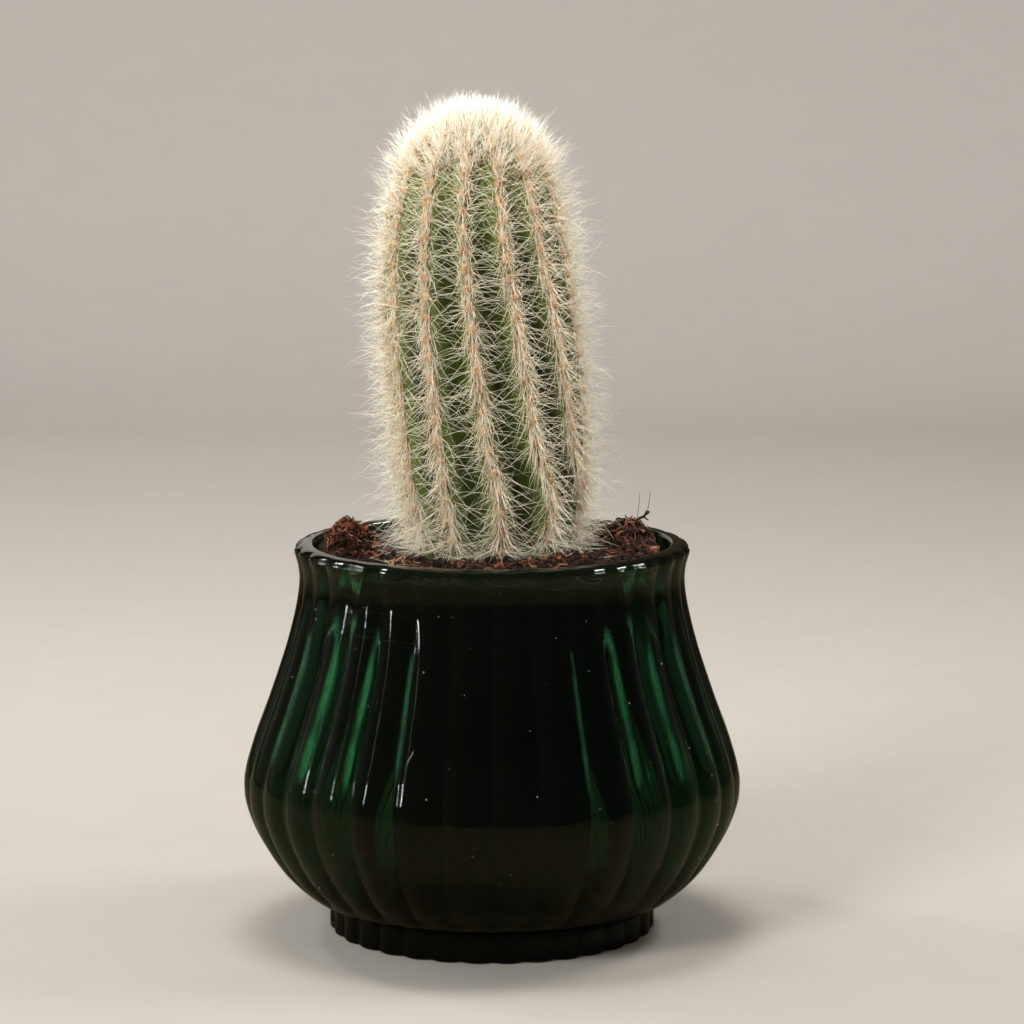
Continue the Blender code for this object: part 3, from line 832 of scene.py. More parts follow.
def inside_glass(points):
    """Pulls points in that would reach into the glass."""
    far = np.hypot(points[..., 0], points[..., 1])
    points[..., :2] *= np.minimum(1, SOIL_RADIUS / far)[..., None]
    return points.reshape(-1, 3)


# %% Crumbs
CRUMBS = (  # name, number, smallest and largest radius in millimetres, and subdivisions
    ("peat_grit", 1100, (0.35, 0.70), 1),
    ("peat_crumbs", 420, (0.65, 1.30), 2),
)
CRUMB_STRETCH = (1.15, 0.9, 0.75)
UNEVEN = 0.20

for name, count, radii, subdivisions in CRUMBS:
    size = between(radii, draw.uniform(0, 1, count) ** 1.6) * MM
    places = on_soil(count)
    places[:, 2] += 0.25 * size
    points, faces = lumps(places, size, subdivisions, UNEVEN, CRUMB_STRETCH)
    make_piece(name, inside_glass(points), faces, peat)

# %% [markdown]
# Rust-red chips of coconut husk lie among the crumbs, most of them on the left-hand heap. Chance
# gathers them round a few middles. Each chip has one tone, stored on its points, and a colour ramp
# turns the tone into a colour.

# %% Places on the heaps
def on_heaps(heaps):
    """Places gathered round a few middles, each given as x, y, spread and number."""
    spots = np.vstack([draw.normal((x, y), wide, (count, 2)) for x, y, wide, count in heaps]) * MM
    distance = np.hypot(*spots.T)
    spots *= (np.clip(distance, 21.0 * MM, 40.0 * MM) / distance)[:, None]
    return np.array([(x, y, soil_height(x, y, True)) for x, y in spots])


# %% Chips of husk
CHIP_HEAPS = (
    (-34.5, 11, 3.0, 85), (-38, 6, 2.2, 45), (31, 3, 6.0, 50), (20, -24, 5.0, 20),
)
LOOSE_CHIPS = 50
CHIP_SIZE = (0.35, 1.05)
CHIP_STRETCH = (1.5, 0.7, 0.4)
HUSK_TONES = (
    (0.0, (0.012, 0.005, 0.003, 1)), (0.50, (0.075, 0.020, 0.010, 1)),
    (0.85, (0.240, 0.060, 0.022, 1)), (1.0, (0.420, 0.190, 0.090, 1)),
)
HUSK_SHADE = (0.35, 0.35, 0.35, 1)

places = np.vstack([on_heaps(CHIP_HEAPS), on_soil(LOOSE_CHIPS)])
places[:, 2] += 0.25 * MM
size = draw.uniform(*CHIP_SIZE, len(places)) * MM
points, faces = lumps(places, size, 2, UNEVEN, CHIP_STRETCH)
tone = np.repeat(draw.uniform(0, 1, len(places)), points.shape[1])

husk, tree, shader = new_material("husk_chips", 0.55)
grain = use_group(tree, mottled, Dark=HUSK_SHADE, Pale=WHITE, Coarse=700.0, Fine=2600.0)
hue = add_ramp(tree, stored(tree, "tone"), HUSK_TONES)
link(tree, add_mix(tree, 1.0, hue, grain.outputs["Color"], "MULTIPLY"), shader.inputs["Base Color"])
add_bump(tree, grain.outputs["Grain"], 0.5, 0.0003, shader)
make_piece("husk_chips", inside_glass(points), faces, husk, values={"tone": tone})

# %% [markdown]
# Coir fibres curl over the peat, rust-brown with a few tan ones. Each walks over the surface with a
# heading that keeps turning, and lifts off it here and there.

# %% Paths of the fibres
FIBRE_POINTS = 11
FIBRES_STAY = (20.5 * MM, 39.6 * MM)  # off the stem, and so that none shows behind the glass
FIBRE_CURL, FIBRE_UNREST = 0.42, 0.25
FIBRE_WAVE = 5.0


def fibre_paths(places):
    """Curling walks over the soil that begin at these places."""
    count = len(places)
    heading = draw.uniform(0, math.tau, count)
    curl = draw.normal(0, FIBRE_CURL, count)
    stride = draw.uniform(0.35, 1.0, count) * MM
    lift = draw.uniform(0.1, 1.6, count) * MM
    phase = draw.uniform(0, math.tau, count)
    paths = np.empty((count, FIBRE_POINTS, 3))
    spot = places[:, :2].copy()
    for step in range(FIBRE_POINTS):
        away = np.hypot(spot[:, 0], spot[:, 1])
        spot *= (np.clip(away, *FIBRES_STAY) / away)[:, None]
        ground = np.array([soil_height(x, y, True) for x, y in spot])
        share = step / (FIBRE_POINTS - 1)
        paths[:, step, :2] = spot
        paths[:, step, 2] = ground + 0.1 * MM + lift * np.abs(np.sin(phase + share * FIBRE_WAVE))
        spot = spot + np.stack([np.cos(heading), np.sin(heading)], axis=-1) * stride[:, None]
        heading = heading + curl + draw.normal(0, FIBRE_UNREST, count)
    return paths


# %% Coir fibres
FIBRES = 330
FIBRE_HEAPS = ((-34, 11, 3.6, 60), (-38, 5, 2.5, 25), (31, 3, 7.0, 50))
COIR_TONES = (
    (0.0, (0.012, 0.006, 0.004, 1)), (0.45, (0.060, 0.018, 0.010, 1)),
    (0.70, (0.16, 0.038, 0.018, 1)), (0.90, (0.26, 0.085, 0.040, 1)),
    (0.98, (0.40, 0.25, 0.12, 1)),
)

paths = fibre_paths(np.vstack([on_soil(FIBRES), on_heaps(FIBRE_HEAPS)]))
thickness = draw.uniform(0.07, 0.19, len(paths))[:, None] * MM
taper = np.interp(np.linspace(0, 1, FIBRE_POINTS), [0, 0.15, 0.8, 1], [0.6, 1, 0.8, 0.3])
points, faces, _ = tubes(paths, thickness * taper, sides=4)
tone = np.repeat(draw.uniform(0, 1, len(paths)), points.shape[1])

coir, tree, shader = new_material("coir_fibre", 0.6)
link(tree, add_ramp(tree, stored(tree, "tone"), COIR_TONES), shader.inputs["Base Color"])
make_piece("coir_fibres", points.reshape(-1, 3), faces, coir, values={"tone": tone})

# %% [markdown]
# One twig stands in the right-hand heap, with a knob at its top and a short spur, and two hairs rise
# beside it. Each is a smooth curve through a few points, with a list of widths along it.

# %% Twig
TWIG = [
    (33.5, 4, 94.5), (34.4, 3.7, 98.0), (35.3, 3.2, 99.3), (36.4, 2.7, 99.9), (37.3, 2, 101.0),
    (37.5, 1.9, 101.5),
]
SPUR = [(36.5, 2.6, 99.95), (37.2, 2.3, 99.4), (37.7, 2.2, 99.1)]
HAIR_LEFT = [(34.9, 3.4, 98.9), (35.4, 3.2, 103.0), (35.6, 3.0, 105.8)]
HAIR_RIGHT = [(37.4, 2.0, 101.2), (37.9, 1.8, 104.5), (38.0, 1.7, 106.4)]
TWIG_PARTS = (
    ("twig", TWIG, (0.40, 0.32, 0.26, 0.34, 0.28, 0.58, 0.46)),
    ("twig_spur", SPUR, (0.24, 0.20, 0.16)),
    ("twig_hair_left", HAIR_LEFT, (0.07, 0.06, 0.05)),
    ("twig_hair_right", HAIR_RIGHT, (0.08, 0.06, 0.05)),
)
BARK_DARK, BARK_PALE = (0.016, 0.008, 0.005, 1), (0.085, 0.036, 0.022, 1)

wood, tree, shader = new_material("dry_twig", 0.75)
bark = use_group(tree, mottled, Dark=BARK_DARK, Pale=BARK_PALE, Coarse=500.0, Fine=2500.0)
link(tree, bark.outputs["Color"], shader.inputs["Base Color"])
add_bump(tree, bark.outputs["Grain"], 0.5, 0.0002, shader)
for name, route, widths in TWIG_PARTS:
    path = smooth_curve(route, 6)[None] * MM
    along = np.linspace(0, 1, path.shape[1])
    radii = np.interp(along, np.linspace(0, 1, len(widths)), widths)[None] * MM
    points, faces, _ = tubes(path, radii, sides=6)
    make_piece(name, points.reshape(-1, 3), faces, wood)

# %% [markdown]
# ## The stem
# The cactus is one body with 12 ribs. The ribs are not even: seen from the front they spread apart at
# the bottom and run together again at the top, and the whole column leans a little. The formulas are
# the model's.

# %% Stem formulas
RIBS = 12
FIRST_RIB = math.radians(-3)
RIBS_GROW = (90.5 * MM, 99.5 * MM)
FURROW_DEPTH = 0.155  # share of the radius
RIB_SHARPNESS = 1.3
STEM_TOP = 196 * MM
DOME_ROUNDNESS = 0.6
STEM_OUTLINE = [
    (18.0, 94), (19.3, 99), (21.0, 107), (22.0, 118), (22.4, 132), (22.3, 146), (21.6, 159),
    (20.3, 170), (18.2, 179), (15.4, 186), (11.8, 191), (7.2, 194.6),
]
RIB_SPREAD = [(0.21, 96), (0.21, 107), (0.10, 116), (0.02, 124), (-0.09, 154), (-0.15, 170)]
SPREAD_CENTRE, SPREAD_STILL = math.radians(20), math.radians(-50)
LEAN = 5 * MM
LEAN_BETWEEN = (92 * MM, 178 * MM)

outline_curve = smooth_curve(STEM_OUTLINE, 8) * MM
spread_curve = smooth_curve(RIB_SPREAD, 6)
last_radius, last_height = outline_curve[-1]


def stem_axis(height):
    return STEM_START_X - LEAN * smooth_step(height, *LEAN_BETWEEN)


def stem_radius(height):
    """Radius over the ribs: the outline, then a round dome above its last point."""
    side = np.interp(height, outline_curve[:, 1], outline_curve[:, 0])
    dome_share = np.clip(STEM_TOP - height, 0, None) / (STEM_TOP - last_height)
    return np.where(height > last_height, last_radius * dome_share**DOME_ROUNDNESS, side)


def rib_azimuth(position, height):
    """Where a rib has wandered to at this height. One direction stays still."""
    spread = np.interp(height / MM, spread_curve[:, 1], spread_curve[:, 0])
    wander = np.sin(position - SPREAD_CENTRE) - math.sin(SPREAD_STILL - SPREAD_CENTRE)
    return position + spread * wander


def stem_wave(position):
    """1 on the crest of a rib and 0 in the furrow."""
    return np.abs(np.cos((position - FIRST_RIB) * RIBS / 2)) ** RIB_SHARPNESS


def stem_point(position, height, below=0.0):
    depth = FURROW_DEPTH * stem_radius(height) * smooth_step(height, *RIBS_GROW)
    radius = stem_radius(height) - depth * (1 - stem_wave(position)) - below
    azimuth = rib_azimuth(position, height)
    x = stem_axis(height) + radius * np.sin(azimuth)
    return np.stack(np.broadcast_arrays(x, -radius * np.cos(azimuth), height), axis=-1)


# %% [markdown]
# The rings are spaced evenly along the skin and not by height, so that the dome is as fine as the
# sides. For that, the way along the skin is added up once in many small steps and read backwards.

# %% Heights by distance along the skin
STEM_LEVELS = 170
SIDE_STEPS, DOME_STEPS = 600, 60

dome = STEM_TOP - (STEM_TOP - last_height) * np.linspace(1, 0, DOME_STEPS) ** 2
all_heights = np.concatenate([np.linspace(STEM_FOOT, last_height, SIDE_STEPS)[:-1], dome])
steps_along = np.hypot(np.diff(all_heights), np.diff(stem_radius(all_heights)))
along_skin = np.concatenate([[0], np.cumsum(steps_along)])


def height_along(distance):
    return np.interp(distance, along_skin, all_heights)


soil_line = float(np.interp(94 * MM, all_heights, along_skin))
print("skin from soil to top, mm:", round((along_skin[-1] - soil_line) / MM, 1))

# %% [markdown]
# Areoles are the small felt pads that spines grow from. They sit on the crests about 5 mm apart,
# closer together near the young top, and each rib is half a step out from its neighbour. The crest
# swells a little under each pad.

# %% Areole places
AREOLE_STEP = (4.9 * MM, 3.3 * MM)  # apart at the bottom, and at the top
FIRST_AREOLE = soil_line + 0.6 * MM
LAST_AREOLE = along_skin[-1] - 3.0 * MM


def areole_distances(rib):
    distances = [FIRST_AREOLE + (rib % 2) * AREOLE_STEP[0] / 2]
    while distances[-1] < LAST_AREOLE:
        share = (distances[-1] - FIRST_AREOLE) / (LAST_AREOLE - FIRST_AREOLE)
        distances.append(distances[-1] + between(AREOLE_STEP, share**3))
    return np.array(distances[:-1])


rib_positions = FIRST_RIB + math.tau * np.arange(RIBS) / RIBS
areoles_by_rib = [areole_distances(rib) for rib in range(RIBS)]
areole_position = np.concatenate([np.full(len(d), p) for p, d in zip(rib_positions, areoles_by_rib)])
areole_distance = np.concatenate(areoles_by_rib)
areole_height = height_along(areole_distance)
print("areoles:", len(areole_height))

# %% Swellings under the pads
STEPS_PER_RIB = 18
SWELLING = 0.4 * MM
SWELLING_REACH = 1.5 * MM
SWELLING_NARROW = 6
SWELLING_STARTS = (92 * MM, 95 * MM)

count = RIBS * STEPS_PER_RIB
positions = FIRST_RIB + math.tau * np.arange(count) / count
levels = np.linspace(0, along_skin[-1], STEM_LEVELS + 1)[:-1]
heights = height_along(levels)[:, None]
wave = stem_wave(positions)
nearest = np.empty((len(levels), count))
for position, distances in zip(rib_positions, areoles_by_rib):
    gap = np.abs(levels[:, None] - distances[None, :]).min(axis=1)
    turned = (positions - position + math.pi) % math.tau - math.pi
    nearest[:, np.abs(turned) <= math.pi / RIBS + 1e-6] = gap[:, None]
near_pad = np.exp(-((nearest / SWELLING_REACH) ** 2)) * wave**SWELLING_NARROW
swell = SWELLING * near_pad * smooth_step(heights, *SWELLING_STARTS)

# %% [markdown]
# Faint waves of noise keep the skin from looking machined. How near each point is to a crest, and how
# young the skin is there, are stored on the points for the material.

# %% Stem mesh
SKIN_WAVES = 0.12 * MM
WAVES_PER_METRE = 350
SKIN_WAVES_START = (92 * MM, 96 * MM)
YOUNG = (160 * MM, 188 * MM)

smooth_rings = stem_point(positions[None], heights, -swell)
ripple = [noise.noise(Vector(point) * WAVES_PER_METRE) for point in smooth_rings.reshape(-1, 3)]
ripple = np.array(ripple).reshape(len(levels), count) * smooth_step(heights, *SKIN_WAVES_START)
stem_rings = stem_point(positions[None], heights, -swell - SKIN_WAVES * ripple)
stem_points = np.vstack([
    stem_rings.reshape(-1, 3), [(STEM_START_X, 0, STEM_FOOT)], [(stem_axis(STEM_TOP), 0, STEM_TOP)],
])
crest = np.append(np.tile(wave, len(levels)), [0, 1])
young = np.append(smooth_step(stem_rings[..., 2], *YOUNG).ravel(), [0, 1])

# %% [markdown]
# The skin is waxy: dark olive green deep in the furrows, which is painted shade, paler on the crests, and
# palest where it is young at the top, with faint blotches. A thin coat gives the wax its soft shine.

# %% Stem material
# Painted shade: the blotched colours of the furrows are darker than the green of the crests.
FURROW_SHADE_DARK, FURROW_SHADE_PALE = (0.010, 0.020, 0.001, 1), (0.034, 0.054, 0.004, 1)
CREST_GREEN, YOUNG_GREEN = (0.110, 0.145, 0.028, 1), (0.16, 0.20, 0.032, 1)
CREST_EDGES = (0.35, 1.0)
YOUNG_SHARE = 0.65

skin, tree, shader = new_material("cactus_skin", 0.45)
shader.inputs["Coat Weight"].default_value = 0.12
shader.inputs["Coat Roughness"].default_value = 0.4
blotches = use_group(tree, mottled, Dark=FURROW_SHADE_DARK, Pale=FURROW_SHADE_PALE, Coarse=110.0, Fine=700.0)
unshaded_crests = contrast(tree, stored(tree, "crest"), *CREST_EDGES)
green = add_mix(tree, unshaded_crests, blotches.outputs["Color"], CREST_GREEN)
fresh = add_math(tree, "MULTIPLY", stored(tree, "young"), YOUNG_SHARE)
link(tree, add_mix(tree, fresh, green, YOUNG_GREEN), shader.inputs["Base Color"])
add_bump(tree, blotches.outputs["Grain"], 0.25, 0.0002, shader)
stem_faces = ring_faces(len(levels), count)
stem_values = {"crest": crest, "young": young}
make_piece("stem", stem_points, stem_faces, skin, "cactus", stem_values)

# %% [markdown]
# ## Felt pads
# Each pad is a small oval cushion of tan wool, rusty in its middle, where the spines come out. Hairs
# alone would let the green skin show between them, so a rough ball, half sunk in the crest, gives the
# body of the pad, and its hairs follow with the bristles. A frame of directions at each areole tells
# which way is out, sideways and up.

# %% Frames at the areoles
SLOPE_STEP = 0.3 * MM


def frames_at(position, height):
    """Foot, outward, sideways and upward directions on the crests."""
    azimuth = rib_azimuth(position, height)
    slope = (stem_radius(height + SLOPE_STEP) - stem_radius(height - SLOPE_STEP)) / (2 * SLOPE_STEP)
    away = unit(np.stack([np.sin(azimuth), -np.cos(azimuth), -slope], axis=-1))
    side = np.stack([np.cos(azimuth), np.sin(azimuth), np.zeros_like(azimuth)], axis=-1)
    return stem_point(position, height), away, side, np.cross(away, side)


foot, away, side, up = frames_at(areole_position, areole_height)

# %% Felt mesh
PAD_WIDTH, PAD_LENGTH, PAD_RISE = 1.08 * MM, 1.30 * MM, 1.20 * MM
PAD_LIFT = 0.35 * MM
PAD_SIZES = (0.85, 1.15)
PAD_UNEVEN = 0.07

pads = len(foot)
ball, ball_faces = ball_points(2)
size = draw.uniform(*PAD_SIZES, pads)[:, None, None]
rough_ball = ball * (1 + draw.normal(0, PAD_UNEVEN, (pads, len(ball), 1)))
pad_points = (
    foot[:, None] + away[:, None] * PAD_LIFT
    + size * (rough_ball[..., 0:1] * side[:, None] * PAD_WIDTH
              + rough_ball[..., 1:2] * up[:, None] * PAD_LENGTH
              + rough_ball[..., 2:3] * away[:, None] * PAD_RISE)
)
starts = (np.arange(pads) * len(ball))[:, None, None]
pad_faces = (ball_faces + starts).reshape(-1, 3).tolist()
pad_values = {"centre": np.tile(np.clip(ball[:, 2], 0, 1), pads)}

# %% Felt
FELT_DARK, FELT_PALE = (0.55, 0.31, 0.14, 1), (0.80, 0.56, 0.33, 1)
RUST = (0.46, 0.20, 0.075, 1)
RUST_EDGES = (0.75, 1.0)

felt, tree, shader = new_material("areole_felt", 0.9)
wool = use_group(tree, mottled, Dark=FELT_DARK, Pale=FELT_PALE, Coarse=300.0, Fine=3000.0)
rusty = contrast(tree, stored(tree, "centre"), *RUST_EDGES)
link(tree, add_mix(tree, rusty, wool.outputs["Color"], RUST), shader.inputs["Base Color"])
add_bump(tree, wool.outputs["Grain"], 0.8, 0.0003, shader)
make_piece("areole_pads", pad_points.reshape(-1, 3), pad_faces, felt, values=pad_values)

# %% [markdown]
# ## Bristles
# Each areole carries several dozen fine bristles. Most spread nearly flat over the furrows to both
# sides, some run down along the crest, and others stand out. Particle hair would be the quick way to
# make them, but it doesn't survive an export, so each bristle is a thin tapered tube.
#
# A bristle is brown at its root and nearly white at its tip, and some are warmer than others. The ones
# over the furrows are painted a little darker and greener, as painted shade and painted green light from
# the skin. The ones along the crests are the warmest, and those of the crown the whitest.

# %% Bristle finishes
def bristle_material(name, root, middle, tip, warm):
    """Colour from root to tip, and warmer on some bristles than on others."""
    made, tree, shader = new_material(name, 0.4)
    plain = add_ramp(tree, stored(tree, "along"), ((0.0, root), (0.35, middle), (1.0, tip)))
    link(tree, add_mix(tree, stored(tree, "tone"), plain, warm), shader.inputs["Base Color"])
    return made


cream = bristle_material(
    "cream_bristle",
    root=(0.72, 0.50, 0.29, 1), middle=(0.92, 0.84, 0.68, 1), tip=(0.97, 0.95, 0.88, 1),
    warm=(0.84, 0.66, 0.43, 1),
)
# Painted shade and painted green light: a darker, greener copy of the cream, for the bristles over the
# furrows.
shaded = bristle_material(
    "shaded_bristle",
    root=(0.60, 0.46, 0.26, 1), middle=(0.82, 0.78, 0.58, 1), tip=(0.95, 0.92, 0.82, 1),
    warm=(0.55, 0.53, 0.34, 1),
)
crest_cream = bristle_material(
    "crest_bristle",
    root=(0.80, 0.47, 0.24, 1), middle=(0.94, 0.80, 0.60, 1), tip=(0.98, 0.95, 0.88, 1),
    warm=(0.86, 0.66, 0.43, 1),
)
white = bristle_material(
    "white_bristle",
    root=(0.60, 0.36, 0.17, 1), middle=(0.93, 0.84, 0.70, 1), tip=(0.99, 0.98, 0.96, 1),
    warm=(0.78, 0.56, 0.34, 1),
)
wool_hairs = bristle_material(
    "pad_wool",
    root=(0.62, 0.34, 0.15, 1), middle=(0.78, 0.50, 0.27, 1), tip=(0.88, 0.66, 0.42, 1),
    warm=(0.60, 0.33, 0.15, 1),
)

# %% [markdown]
# A bristle must not dive into the soil. The soil's height is worked out once on a grid, and a bristle
# that would end too low is turned upwards in small steps until it passes over.

# %% Keeping bristles off the soil
GRID_SIDE = 44 * MM
GRID_COUNT = 161
SOIL_CLEARANCE = 0.25 * MM
RIM_CLEARANCE = 0.5 * MM
TURN_UP, MOST_TURNS = 0.07, 30
LOOK_ALONG = (0.4, 0.7, 1.0)

grid = np.linspace(-GRID_SIDE, GRID_SIDE, GRID_COUNT)
soil_grid = np.array([[soil_height(x, y, True) for x in grid] for y in grid])


def soil_at(x, y):
    """Lowest height that a bristle may have here, over the soil or over the rim of the glass."""
    column = np.clip(np.rint((x - grid[0]) / (grid[1] - grid[0])).astype(int), 0, GRID_COUNT - 1)
    row = np.clip(np.rint((y - grid[0]) / (grid[1] - grid[0])).astype(int), 0, GRID_COUNT - 1)
    over_glass = np.hypot(x, y) > SOIL_RADIUS
    return np.where(over_glass, RIM_HEIGHT + RIM_CLEARANCE, soil_grid[row, column] + SOIL_CLEARANCE)


def clear_of_soil(roots, directions, lengths, droop):
    """The same directions, but turned up where a bristle would go too low."""
    directions = directions.copy()
    for _ in range(MOST_TURNS):
        low = np.zeros(len(roots), bool)
        for share in LOOK_ALONG:
            point = roots + directions * (lengths * share)[:, None]
            sunk = point[:, 2] - droop * lengths * share**2
            low |= sunk < soil_at(point[:, 0], point[:, 1])
        if not low.any():
            break
        directions[low] = unit(directions[low] + [0, 0, TURN_UP])
    return directions


# %% [markdown]
# One function makes every family of bristles. It gets the roots, the directions and the lengths, bends
# each bristle a little at random and downwards, and gives it a slight wave.

# %% Bristle generator
BRISTLE_TAPERS = {3: (1.0, 0.8, 0), 4: (1.0, 0.88, 0.58, 0), 5: (1.0, 0.9, 0.72, 0.46, 0)}
BOX_TOP = cad_box[1][2] - 0.05 * MM
NEAR_SOIL = 100 * MM  # bristles that start lower than this don't curl down
WAVE_SIZE = 0.04  # share of the length


def bristles(
    name, roots, directions, lengths, material,
    droop=0.0, curl=0.1, thickness=(0.11, 0.18), warmth=0.6, bends=4,
):
    """Tapering curved bristles in one piece. Droop and curl are shares of each length."""
    count = len(roots)
    droop = droop * np.ones(count)
    directions = clear_of_soil(roots, directions, lengths, droop)
    share = np.linspace(0, 1, bends)[None, :, None]
    sideways = draw.normal(0, 1, (count, 3))
    sideways = unit(sideways - directions * (sideways * directions).sum(axis=1, keepdims=True))
    bend = sideways * (draw.normal(curl, 0.6 * curl, count) * lengths)[:, None]
    bend[:, 2] = np.where(roots[:, 2] < NEAR_SOIL, np.abs(bend[:, 2]), bend[:, 2]) - droop * lengths
    straight = directions[:, None] * lengths[:, None, None] * share
    paths = roots[:, None] + straight + bend[:, None] * share**2
    across = np.cross(directions, sideways)
    ripple = across * (WAVE_SIZE * lengths * draw.normal(0, 1, count))[:, None]
    wave = np.sin(share * draw.uniform(3, 9, (count, 1, 1)) + draw.uniform(0, 6, (count, 1, 1)))
    paths += ripple[:, None] * wave * share
    paths[..., 2] = np.minimum(paths[..., 2], BOX_TOP)
    thick = draw.uniform(*thickness, count) * MM
    points, faces, along = tubes(paths, thick[:, None] / 2 * np.array(BRISTLE_TAPERS[bends]))
    tone = np.repeat(draw.uniform(0, 1, count) ** 1.5 * warmth, points.shape[1])
    values = {"along": np.tile(along, count), "tone": tone}
    return make_piece(name, points.reshape(-1, 3), faces, material, values=values)


# %% [markdown]
# How bristles stand changes with height, so three short tables give it: how much they point upwards,
# how much they droop, and how long they are. Near the top they point up and outwards, lower down they
# droop, and just above the soil they are long. Each family is a fan that spreads round one direction
# on the pads: to a side, down or up.

# %% Fans of bristles
HEIGHTS = (94, 104, 125, 155, 178, 190, 196)
UPWARDS = (-0.30, -0.25, -0.12, 0.06, 0.35, 0.62, 0.80)
DROOP = (0.04, 0.12, 0.17, 0.10, 0.02, 0.00, 0.00)
LONGER = (1.35, 1.28, 1.15, 1.10, 1.05, 0.85, 0.62)

areole_mm = areole_height / MM
upwards = np.interp(areole_mm, HEIGHTS, UPWARDS)
drooping = np.interp(areole_mm, HEIGHTS, DROOP)
longer = np.interp(areole_mm, HEIGHTS, LONGER)


def fan(
    name, per_areole, lean, length, centre, spread,
    root_spread=(0.30, 0.8), rise=1.0, chosen=None, material=cream, **options,
):
    """Bristles that fan out round each areole. Lean and the turn round the pad are in degrees."""
    index = np.repeat(np.arange(len(foot)) if chosen is None else chosen, per_areole)
    total = len(index)
    turn = np.radians(centre + draw.normal(0, 1, total) * spread)
    tilt = np.radians(draw.uniform(*lean, total))
    flat_way = side[index] * np.cos(turn)[:, None] + up[index] * np.sin(turn)[:, None]
    directions = away[index] * np.cos(tilt)[:, None] + flat_way * np.sin(tilt)[:, None]
    directions[:, 2] += rise * upwards[index] * draw.uniform(0.4, 1.6, total)
    directions = unit(directions)
    lengths = draw.uniform(*length, total) * MM * longer[index]
    roots = foot[index] + side[index] * draw.normal(0, root_spread[0] * MM, total)[:, None]
    roots = roots + up[index] * draw.normal(0, root_spread[1] * MM, total)[:, None]
    droop = drooping[index] * draw.uniform(0.3, 1.7, total)
    bristles(name, roots, directions, lengths, material, droop, **options)


# %% Bristles along the ribs
RIGHT, LEFT, UP, DOWN = 0, 180, 90, -90
OVER_FURROWS = dict(material=shaded, curl=0.24, thickness=(0.09, 0.155))
ALONG_CREST = dict(
    lean=(60, 86), length=(4.5, 7.5), centre=DOWN, spread=17, root_spread=(0.75, 1.1), rise=0.3,
    material=crest_cream, curl=0.08, thickness=(0.12, 0.20),
)
BARE_CREST = 162  # above this height the crests show more green between their pads
FOOT_PADS = 104  # pads below this height also carry long bristles that lie out over the soil
LIE_OUT = dict(curl=0.10, thickness=(0.08, 0.14))

fan("bristles_right", 12, (38, 102), (4.6, 12.0), RIGHT, 48, **OVER_FURROWS)
fan("bristles_left", 12, (38, 102), (4.6, 12.0), LEFT, 48, **OVER_FURROWS)
fan("bristles_down", 12, **ALONG_CREST)
fan("bristles_down_low", 12, chosen=np.flatnonzero(areole_mm < BARE_CREST), **ALONG_CREST)
fan("bristles_up", 7, (60, 84), (3.5, 5.5), UP, 22, root_spread=(0.5, 1.0), curl=0.08)
fan("bristles_out", 12, (5, 60), (4.8, 8.2), RIGHT, 180, curl=0.16)
fan("bristle_wisps", 5, (25, 95), (8.0, 13.0), RIGHT, 180, curl=0.30, thickness=(0.08, 0.13), bends=5)
lowest = np.flatnonzero(areole_mm < FOOT_PADS)
fan("bristles_foot", 4, (30, 88), (7.0, 13.0), DOWN, 80, chosen=lowest, **LIE_OUT)

# %% [markdown]
# ## The crown
# New spines grow at the top, white to their tips. They come in tufts too close together to tell apart.
# The middle ones stand upright and short, and towards the shoulders they lean out and get longer,
# until they run into the bristles of the ribs.

# %% Tufts of the crown
TUFTS = 95
CROWN_REACH = 24 * MM  # along the skin from the top
CROWN_CROWDING = 0.72  # 0.5 would spread the tufts evenly, and more crowds them at the top
OUTWARDS, UPRIGHT = (0.45, 1.00), (0.85, 0.50)  # in the middle, and at the shoulders
GOLDEN_ANGLE = math.radians(137.5)

number = np.arange(TUFTS)
reach = CROWN_REACH * ((number + 0.5) / TUFTS) ** CROWN_CROWDING
crown_height = height_along(along_skin[-1] - reach)
tuft_foot, tuft_away, _, _ = frames_at(number * GOLDEN_ANGLE, crown_height)
lean = (reach / CROWN_REACH)[:, None]
tuft_way = unit(tuft_away * between(OUTWARDS, lean) + np.array([0, 0, 1.0]) * between(UPRIGHT, lean))

# %% Crown brush
PER_TUFT = 30
TUFT_WIDTH, TUFT_DEPTH = 0.6 * MM, 0.9 * MM
TUFT_SPREAD = 0.17
CROWN_LENGTH = (6.2, 10.0)  # in the middle, and at the shoulders
CROWN_SHORTEST = 0.50
CROWN_WARMTH = (0.05, 0.95)

index = np.repeat(number, PER_TUFT)
total = len(index)
roots = tuft_foot[index] + draw.normal(0, TUFT_WIDTH, (total, 3))
roots -= tuft_away[index] * TUFT_DEPTH
directions = unit(tuft_way[index] + draw.normal(0, TUFT_SPREAD, (total, 3)))
longest = between(CROWN_LENGTH, lean[index, 0])
lengths = longest * draw.uniform(CROWN_SHORTEST, 1.0, total) * MM
warmer = between(CROWN_WARMTH, lean[index, 0] ** 2)
brush_look = dict(curl=0.03, thickness=(0.13, 0.23), warmth=warmer)
bristles("crown_brush", roots, directions, lengths, white, **brush_look)

# %% [markdown]
# Short tan wool sticks out of every pad and softens its edge. Its hairs lean between a little and nearly
# flat, to all sides.

# %% Wool on the pads
WOOL = 9
WOOL_LEAN = (15, 75)
WOOL_LENGTH = (0.9, 1.7)
WOOL_OUT, WOOL_ASIDE = 0.3 * MM, 0.4 * MM

